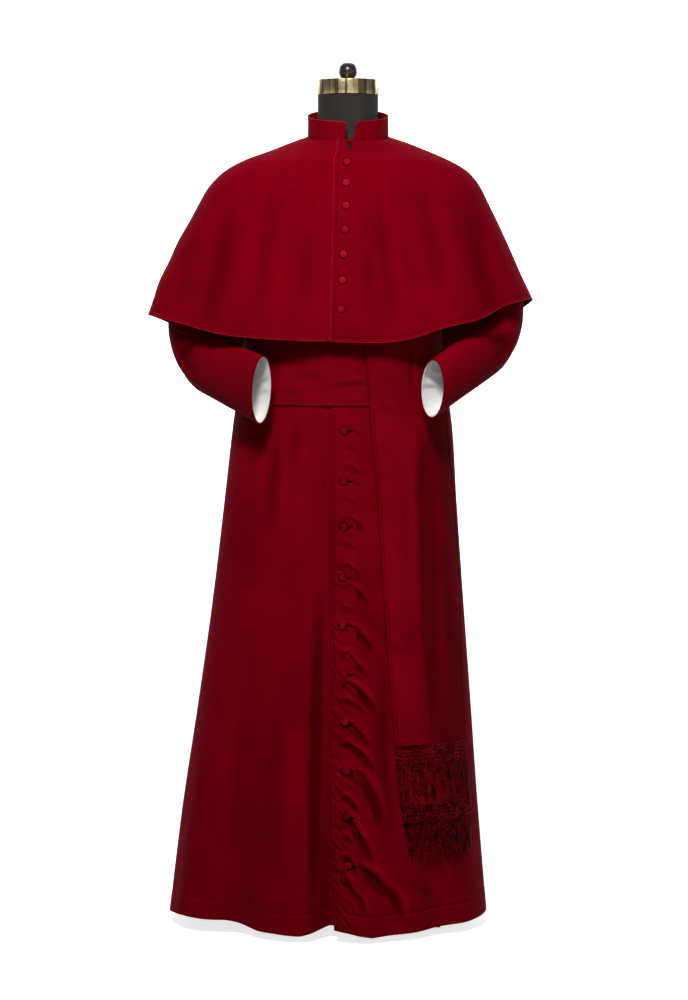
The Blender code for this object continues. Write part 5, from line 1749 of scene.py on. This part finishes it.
def button_pattern(silk):
    """One covered button, as a maker models it: a flat drum, its crown raised, its rim rolled under."""
    bpy.ops.mesh.primitive_cylinder_add(
        vertices=28, radius=BUTTON_RADIUS, depth=0.0016, end_fill_type="NGON", location=(0.0, 0.0, 0.0014)
    )
    button = modelled("button_pattern", silk)
    choose_faces(button, 1.0)
    # The crown: four insets, each raised less than the last
    for inset, raised in ((0.0008, 0.00075), (0.0013, 0.00062), (0.0018, 0.00040), (0.0018, 0.00012)):
        bpy.ops.mesh.inset(thickness=inset, depth=raised)
    bpy.ops.mesh.poke()
    # The cloth is gathered under the button to a small flat
    choose_faces(button, -1.0)
    bpy.ops.mesh.inset(thickness=0.0012, depth=0.0006)
    bpy.ops.mesh.inset(thickness=0.0024, depth=-0.0003)
    rounded(button, "rolled_rim", width=0.00045, segments=2, from_angle=35.0)
    return button


def turned_to(point, outward, spin):
    """Where a thing modelled lying on the floor goes so that it lies on a surface."""
    ahead = Vector(outward).normalized()
    across = Vector((0.0, 0.0, 1.0)).cross(ahead).normalized()
    up = ahead.cross(across)
    frame = Matrix((across, up, ahead)).transposed().to_4x4()
    return Matrix.Translation(Vector(point)) @ frame @ Matrix.Rotation(spin, 4, "Z")


def make_buttons(silk, shaded_silk, thread):
    """A copy of the button at every place, each turned a little its own way, on a dark thread ring that is
    partly painted shadow.
    """
    pattern = button_pattern(silk)
    rng = np.random.default_rng(9)
    around = np.arange(13) * 2.0 * math.pi / 12
    seats = []
    for row, surface, places, lift, finish in (
        ("front", body(LEFT_FRONT_FOLDS), front_button_places(), FRONT_LIFT, shaded_silk),
        ("cape", cape(CAPE_LEFT_FOLDS), cape_button_places(), CAPE_LIFT, silk),
    ):
        for number, (u, v) in enumerate(places, 1):
            point = place_on(surface, u, v, lift + CLOTH / 2 - DIMPLE_DEPTH + 0.0002)
            ahead = unit(place_on(surface, u, v, 1.0) - point)
            mesh = pattern.data.copy()
            tilt = Vector(ahead) + Vector(rng.normal(0.0, 0.05, 3))
            mesh.transform(turned_to(point, tilt, rng.uniform(0.0, 6.28)))
            mesh.materials.clear()
            link(mesh, f"silk_{row}_button_{number}", finish, f"{row}_button_{number}")
            side = unit(np.cross((0.0, 0.0, 1.0), ahead))
            up = np.cross(ahead, side)
            ring = point + SEAT_RADIUS * (np.outer(np.cos(around), side) + np.outer(np.sin(around), up))
            seats.append((ring + ahead * 0.0004, np.tile(ahead, (13, 1))))
    bpy.data.objects.remove(pattern)
    tubes("button_seat_thread", seats, SEAT_THICK, thread)


# ---------------------------------------------------------------- hook, dress form and stand
# The bends of the hook's wire and of its bar, from their middle: across, up and out from the cape
Bend = namedtuple("Bend", "x z out")
HOOK_WIRE = rows_of(
    Bend,
    (-0.0020, 0.0052, 0.0004),
    (0.0000, 0.0050, 0.0016),
    (0.0012, 0.0024, 0.0024),
    (0.0010, -0.0008, 0.0024),
    (0.0002, -0.0036, 0.0018),
    (-0.0014, -0.0050, 0.0008),
    (-0.0026, -0.0036, 0.0004),
)
HOOK_BAR = rows_of(
    Bend,
    (0.0030, 0.0056, 0.0002),
    (0.0040, 0.0050, 0.0012),
    (0.0042, 0.0000, 0.0016),
    (0.0038, -0.0050, 0.0012),
    (0.0028, -0.0056, 0.0002),
)
WIRE_RADIUS = 0.0012
FORM_SIDES = 96


def read_between(rows, at):
    """Reads a list of rows at places between them."""
    return np.stack([np.interp(at, range(len(rows)), column) for column in zip(*rows)], axis=-1)


def make_hook(enamel):
    """The hook and bar at the neck of the cape, of bent wire."""
    surface = cape(CAPE_LEFT_FOLDS)
    bm, layer = new_tubes()
    for shape in (HOOK_WIRE, HOOK_BAR):
        places = []
        for bend in shape:
            x, z = HOOK_X + 1.35 * bend.x - 0.001, HOOK_Z + 1.2 * bend.z
            places.append(
                place_on(surface, turn_at(CAPE, x, z), cape_share(z), CAPE_LIFT + CLOTH / 2 + bend.out * 1.2)
            )
        smooth = read_between(places, np.linspace(0.0, len(places) - 1.0, 33))
        for _ in range(3):
            smooth[1:-1] = (smooth[:-2] + smooth[1:-1] * 2.0 + smooth[2:]) / 4.0
        tube(bm, layer, smooth, WIRE_RADIUS, 10)
    finish_bmesh(bm, "hook_and_bar", enamel, smooth=60.0, node="collar_hook")


def make_form(jersey):
    """The dress form: a smooth padded torso with a neck, closed below by a flat board."""
    turns = np.arange(FORM_SIDES) * 360.0 / FORM_SIDES - 180.0
    rows = np.concatenate([steps_between(0.800, 1.352, 0.012)[:-1], steps_between(1.352, 1.388, 0.004)])
    turn, z = np.meshgrid(turns, rows)
    points, normals = grid_of(body(()), turn, z)
    rings = list(points - normals * smooth_column(FORM, "z", "inset", z)[..., None])
    rings[0][:, 2] = rows[0]
    angle = np.radians(turns)
    for radius, z, tilt in read_between(NECK_RINGS, np.linspace(0.0, len(NECK_RINGS) - 1.0, 22)):
        y = -radius * np.cos(angle)
        rings.append(np.stack([radius * np.sin(angle), y, z + tilt * y], axis=-1))
    bm, layer = new_tubes()
    grid = [[bm.verts.new(place) for place in ring] for ring in rings]
    for low, high in zip(grid[:-1], grid[1:]):
        for n in range(FORM_SIDES):
            m = (n + 1) % FORM_SIDES
            face = bm.faces.new((low[n], low[m], high[m], high[n]))
            for loop, u in zip(face.loops, (n, n + 1, n + 1, n)):
                loop[layer].uv = (u / FORM_SIDES, loop.vert.co.z)
    bm.faces.new(grid[0])
    bm.faces.new(grid[-1])
    finish_bmesh(bm, "padded_torso_and_neck", jersey, smooth=40.0, node="form_torso")


def make_neck_ring(brass):
    """The brass ring that ends the neck: a turned band with softened edges and a dished top."""
    middle, height = (RING_FOOT + RING_TOP) / 2, RING_TOP - RING_FOOT
    bpy.ops.mesh.primitive_cylinder_add(
        vertices=96, radius=RING_RADIUS, depth=height, location=(0.0, 0.0, middle)
    )
    ring = modelled("turned_brass_ring", brass)
    choose_faces(ring, 1.0)
    # The top steps in to a shallow dish and rises again to the seat of the knob
    for inset, raised in ((0.0022, 0.0), (0.0016, -0.0009), (0.0260, 0.0004), (0.0014, 0.0004)):
        bpy.ops.mesh.inset(thickness=inset, depth=raised)
    rounded(ring, "turned_edges", width=0.0012, segments=3, from_angle=30.0, smooth=28.0)
    declared(ring, brass, "neck_ring")


def make_knob(lacquer):
    """The lacquered ball knob: its foot and its crown are cut flat."""
    middle = KNOB_FOOT - KNOB_RADIUS * math.sin(math.radians(KNOB_FOOT_AT))
    bpy.ops.mesh.primitive_uv_sphere_add(
        segments=64, ring_count=32, radius=KNOB_RADIUS, location=(0.0, 0.0, middle)
    )
    knob = modelled("lacquered_ball_knob", lacquer)
    bpy.ops.object.mode_set(mode="EDIT")
    crown = middle + KNOB_RADIUS * math.sin(math.radians(KNOB_CROWN_AT))
    for height, cleared in ((KNOB_FOOT, {"clear_inner": True}), (crown, {"clear_outer": True})):
        bpy.ops.mesh.select_all(action="SELECT")
        bpy.ops.mesh.bisect(plane_co=(0.0, 0.0, height), plane_no=(0.0, 0.0, 1.0), use_fill=True, **cleared)
    rounded(knob, "softened_cuts", width=0.0008, segments=3, from_angle=18.0, smooth=30.0)
    declared(knob, lacquer, "neck_knob")


# ---------------------------------------------------------------- studio
# The camera stands 5 m away, a little above the waist, and looks slightly down
CAMERA = (-0.007, -4.984, 1.1607)
LOOK_AT = (-0.007, 0.0, 0.7607)
LENS = 100.8
SKY_STRENGTH = 0.11
# Area lamps: sizes in metres, power in watts
Lamp = namedtuple("Lamp", "name place target size power tint", defaults=((1.0, 1.0, 1.0),))
LAMPS = rows_of(
    Lamp,
    ("high_softbox_front_left", (-0.30, -2.45, 3.35), (0.0, 0.0, 1.05), (0.7, 0.7), 99.0),
    ("fill_from_right", (3.0, -2.6, 1.9), (0.0, 0.0, 0.95), (1.4, 2.4), 9.0),
    ("fill_low_in_front", (0.3, -3.8, 0.9), (0.0, 0.0, 0.95), (1.6, 1.0), 6.0),
    ("rim_from_above_behind", (0.0, 0.9, 3.0), (0.0, 0.0, 1.40), (1.6, 0.6), 12.0, (1.0, 0.72, 0.84)),
    ("fill_behind_left", (-3.3, 3.4, 2.3), (0.0, 0.0, 0.9), (1.6, 1.6), 26.0),
    ("fill_behind_right", (3.3, 3.4, 2.3), (0.0, 0.0, 0.9), (1.6, 1.6), 26.0),
    ("background_light_left", (-2.8, 6.0, 2.6), (-0.8, 8.0, 1.0), (1.2, 2.4), 90.0),
    ("background_light_right", (2.8, 6.0, 2.6), (0.8, 8.0, 1.0), (1.2, 2.4), 90.0),
)


def aimed(thing, place, target):
    """Puts a lamp or camera at a place and turns it towards a target."""
    thing.location = place
    thing.rotation_euler = (Vector(target) - Vector(place)).to_track_quat("-Z", "Y").to_euler()


def make_camera():
    camera = placed("camera", bpy.data.cameras.new("camera"))
    camera.data.lens = LENS
    camera.data.sensor_width = 36.0
    camera.data.dof.use_dof = False
    camera.data.clip_end = 60.0
    aimed(camera, CAMERA, LOOK_AT)
    bpy.context.scene.camera = camera


def make_lights():
    """The lamps of LAMPS, and a faint even light from all round."""
    for row in LAMPS:
        lamp = bpy.data.lights.new(row.name, "AREA")
        lamp.shape = "RECTANGLE"
        lamp.size, lamp.size_y = row.size
        lamp.energy = row.power
        lamp.color = row.tint
        aimed(placed(row.name, lamp), row.place, row.target)
    world = bpy.data.worlds.new("studio")
    bpy.context.scene.world = world
    world.use_nodes = True
    sky = world.node_tree.nodes["Background"].inputs
    sky["Color"].default_value = (1.0, 1.0, 1.0, 1.0)
    sky["Strength"].default_value = SKY_STRENGTH


def make_backdrop(paper):
    """A sheet of background paper that curves from the floor up the wall."""
    half, front, back, height, curve, steps = 9.0, -9.0, 8.0, 7.0, 1.6, 16
    profile = [(front, 0.0)]
    for angle in np.radians(np.linspace(0.0, 90.0, steps + 1)):
        profile.append((back - curve + curve * math.sin(angle), curve - curve * math.cos(angle)))
    profile.append((back, height))
    bm = bmesh.new()
    rows = [[bm.verts.new((x, y, z - 0.0005)) for x in (-half, half)] for y, z in profile]
    for low, high in zip(rows[:-1], rows[1:]):
        bm.faces.new((low[0], low[1], high[1], high[0]))
    mesh = bpy.data.meshes.new("background_paper")
    bm.to_mesh(mesh)
    bm.free()
    mesh.shade_smooth()
    mesh.materials.append(paper)
    backdrop = placed("background_paper", mesh)
    # Only the lamps light the cassock: dark flags would keep the paper's own light off it
    backdrop.visible_diffuse = False


# ---------------------------------------------------------------- all together
# What was cut for each piece, in metres: the width and length of the cloth, its area once it is cut to
# shape, how it is held and what it rests on
Cut = namedtuple("Cut", "width length area held rests_on with_pieces", defaults=((),))
BODY_PIECES = ("right_front", "left_front", "right_back", "left_back")
CUTS = {
    "right_front": Cut(0.470, 1.500, 0.436, "hung", ("padded_torso_and_neck",)),
    "left_front": Cut(0.375, 1.490, 0.413, "hung", ("padded_torso_and_neck",)),
    "right_back": Cut(0.430, 1.495, 0.413, "hung", ("padded_torso_and_neck",)),
    "left_back": Cut(0.365, 1.485, 0.373, "hung", ("padded_torso_and_neck",)),
    "right_sleeve_top": Cut(0.335, 0.620, 0.094, "hung", ("right_front", "right_back")),
    "right_sleeve_under": Cut(0.220, 0.525, 0.050, "hung", ("right_front", "right_back")),
    "left_sleeve_top": Cut(0.335, 0.590, 0.086, "hung", ("left_front", "left_back")),
    "left_sleeve_under": Cut(0.220, 0.505, 0.046, "hung", ("left_front", "left_back")),
    "right_cuff_lining": Cut(0.268, 0.132, 0.031, "hung", ("right_sleeve_top", "right_sleeve_under")),
    "left_cuff_lining": Cut(0.245, 0.143, 0.028, "hung", ("left_sleeve_top", "left_sleeve_under")),
    "right_cape": Cut(0.880, 0.450, 0.267, "draped", BODY_PIECES),
    "left_cape": Cut(0.865, 0.450, 0.252, "draped", BODY_PIECES),
    "standing_collar": Cut(0.430, 0.047, 0.0187, "hung", BODY_PIECES),
    "sash_round_waist": Cut(0.990, 0.140, 0.129, "stretched", BODY_PIECES),
    "front_fall": Cut(0.168, 0.745, None, "hung", ("sash_round_waist",), ("front_fringe",)),
    "back_fall": Cut(0.166, 0.845, None, "hung", ("sash_round_waist",), ("back_fringe",)),
}


def declare_sheets():
    pieces = bpy.data.objects
    for name, cut in CUTS.items():
        list(cut.rests_on)
        [pieces[other] for other in cut.with_pieces]


def main():
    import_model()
    wool = wool_finish()
    silk = silk_finish("crimson_ribbed_silk", "#74000f", "#860213", 0.0015, 0.02)
    button_silk = silk_finish("crimson_button_silk", "#94061c", "#b40e2c", 0.0012, 0.25)
    # Painted shade: the front row's buttons get a darker copy of the button silk
    shaded_button_silk = silk_finish("worn_crimson_button_silk", "#5a0210", "#78061a", 0.0012, 0.25)
    cord = cord_finish("crimson_silk_cord", "#160002", "#580510")
    knot_cord = cord_finish("crimson_silk_knots", "#4c030a", "#b81430")
    thread = thread_finish("dark_buttonhole_thread", "#160001", "#2a0104")
    enamel = enamel_finish()

    make_right_front(wool)
    front = make_left_front(wool)
    make_backs(wool)
    make_sleeves(wool, cotton_finish())
    hem_right = make_right_cape(wool)
    cape_left = make_left_cape(wool)
    collar_top = make_collar(wool)
    band = make_band(silk)
    falls = make_falls(silk)
    make_fringes(cord, knot_cord)
    make_piping(piping_finish(), cape_left, hem_right, collar_top)
    make_stitching(thread, front, cape_left, band, falls[0])
    make_buttonholes(thread)
    make_buttons(button_silk, shaded_button_silk, thread)
    make_hook(enamel)
    make_form(jersey_finish())
    make_neck_ring(brass_finish())
    make_knob(knob_finish())
    # The pole and the foot keep the solid model's form
    for name in ("stand_pole", "stand_base"):
        bpy.data.objects[name].material_slots[0].material = enamel
    declare_sheets()

    make_backdrop(paper_finish())
    make_lights()
    make_camera()
    bpy.context.scene.view_settings.view_transform = "Standard"
    bpy.context.scene.view_settings.look = "None"


main()
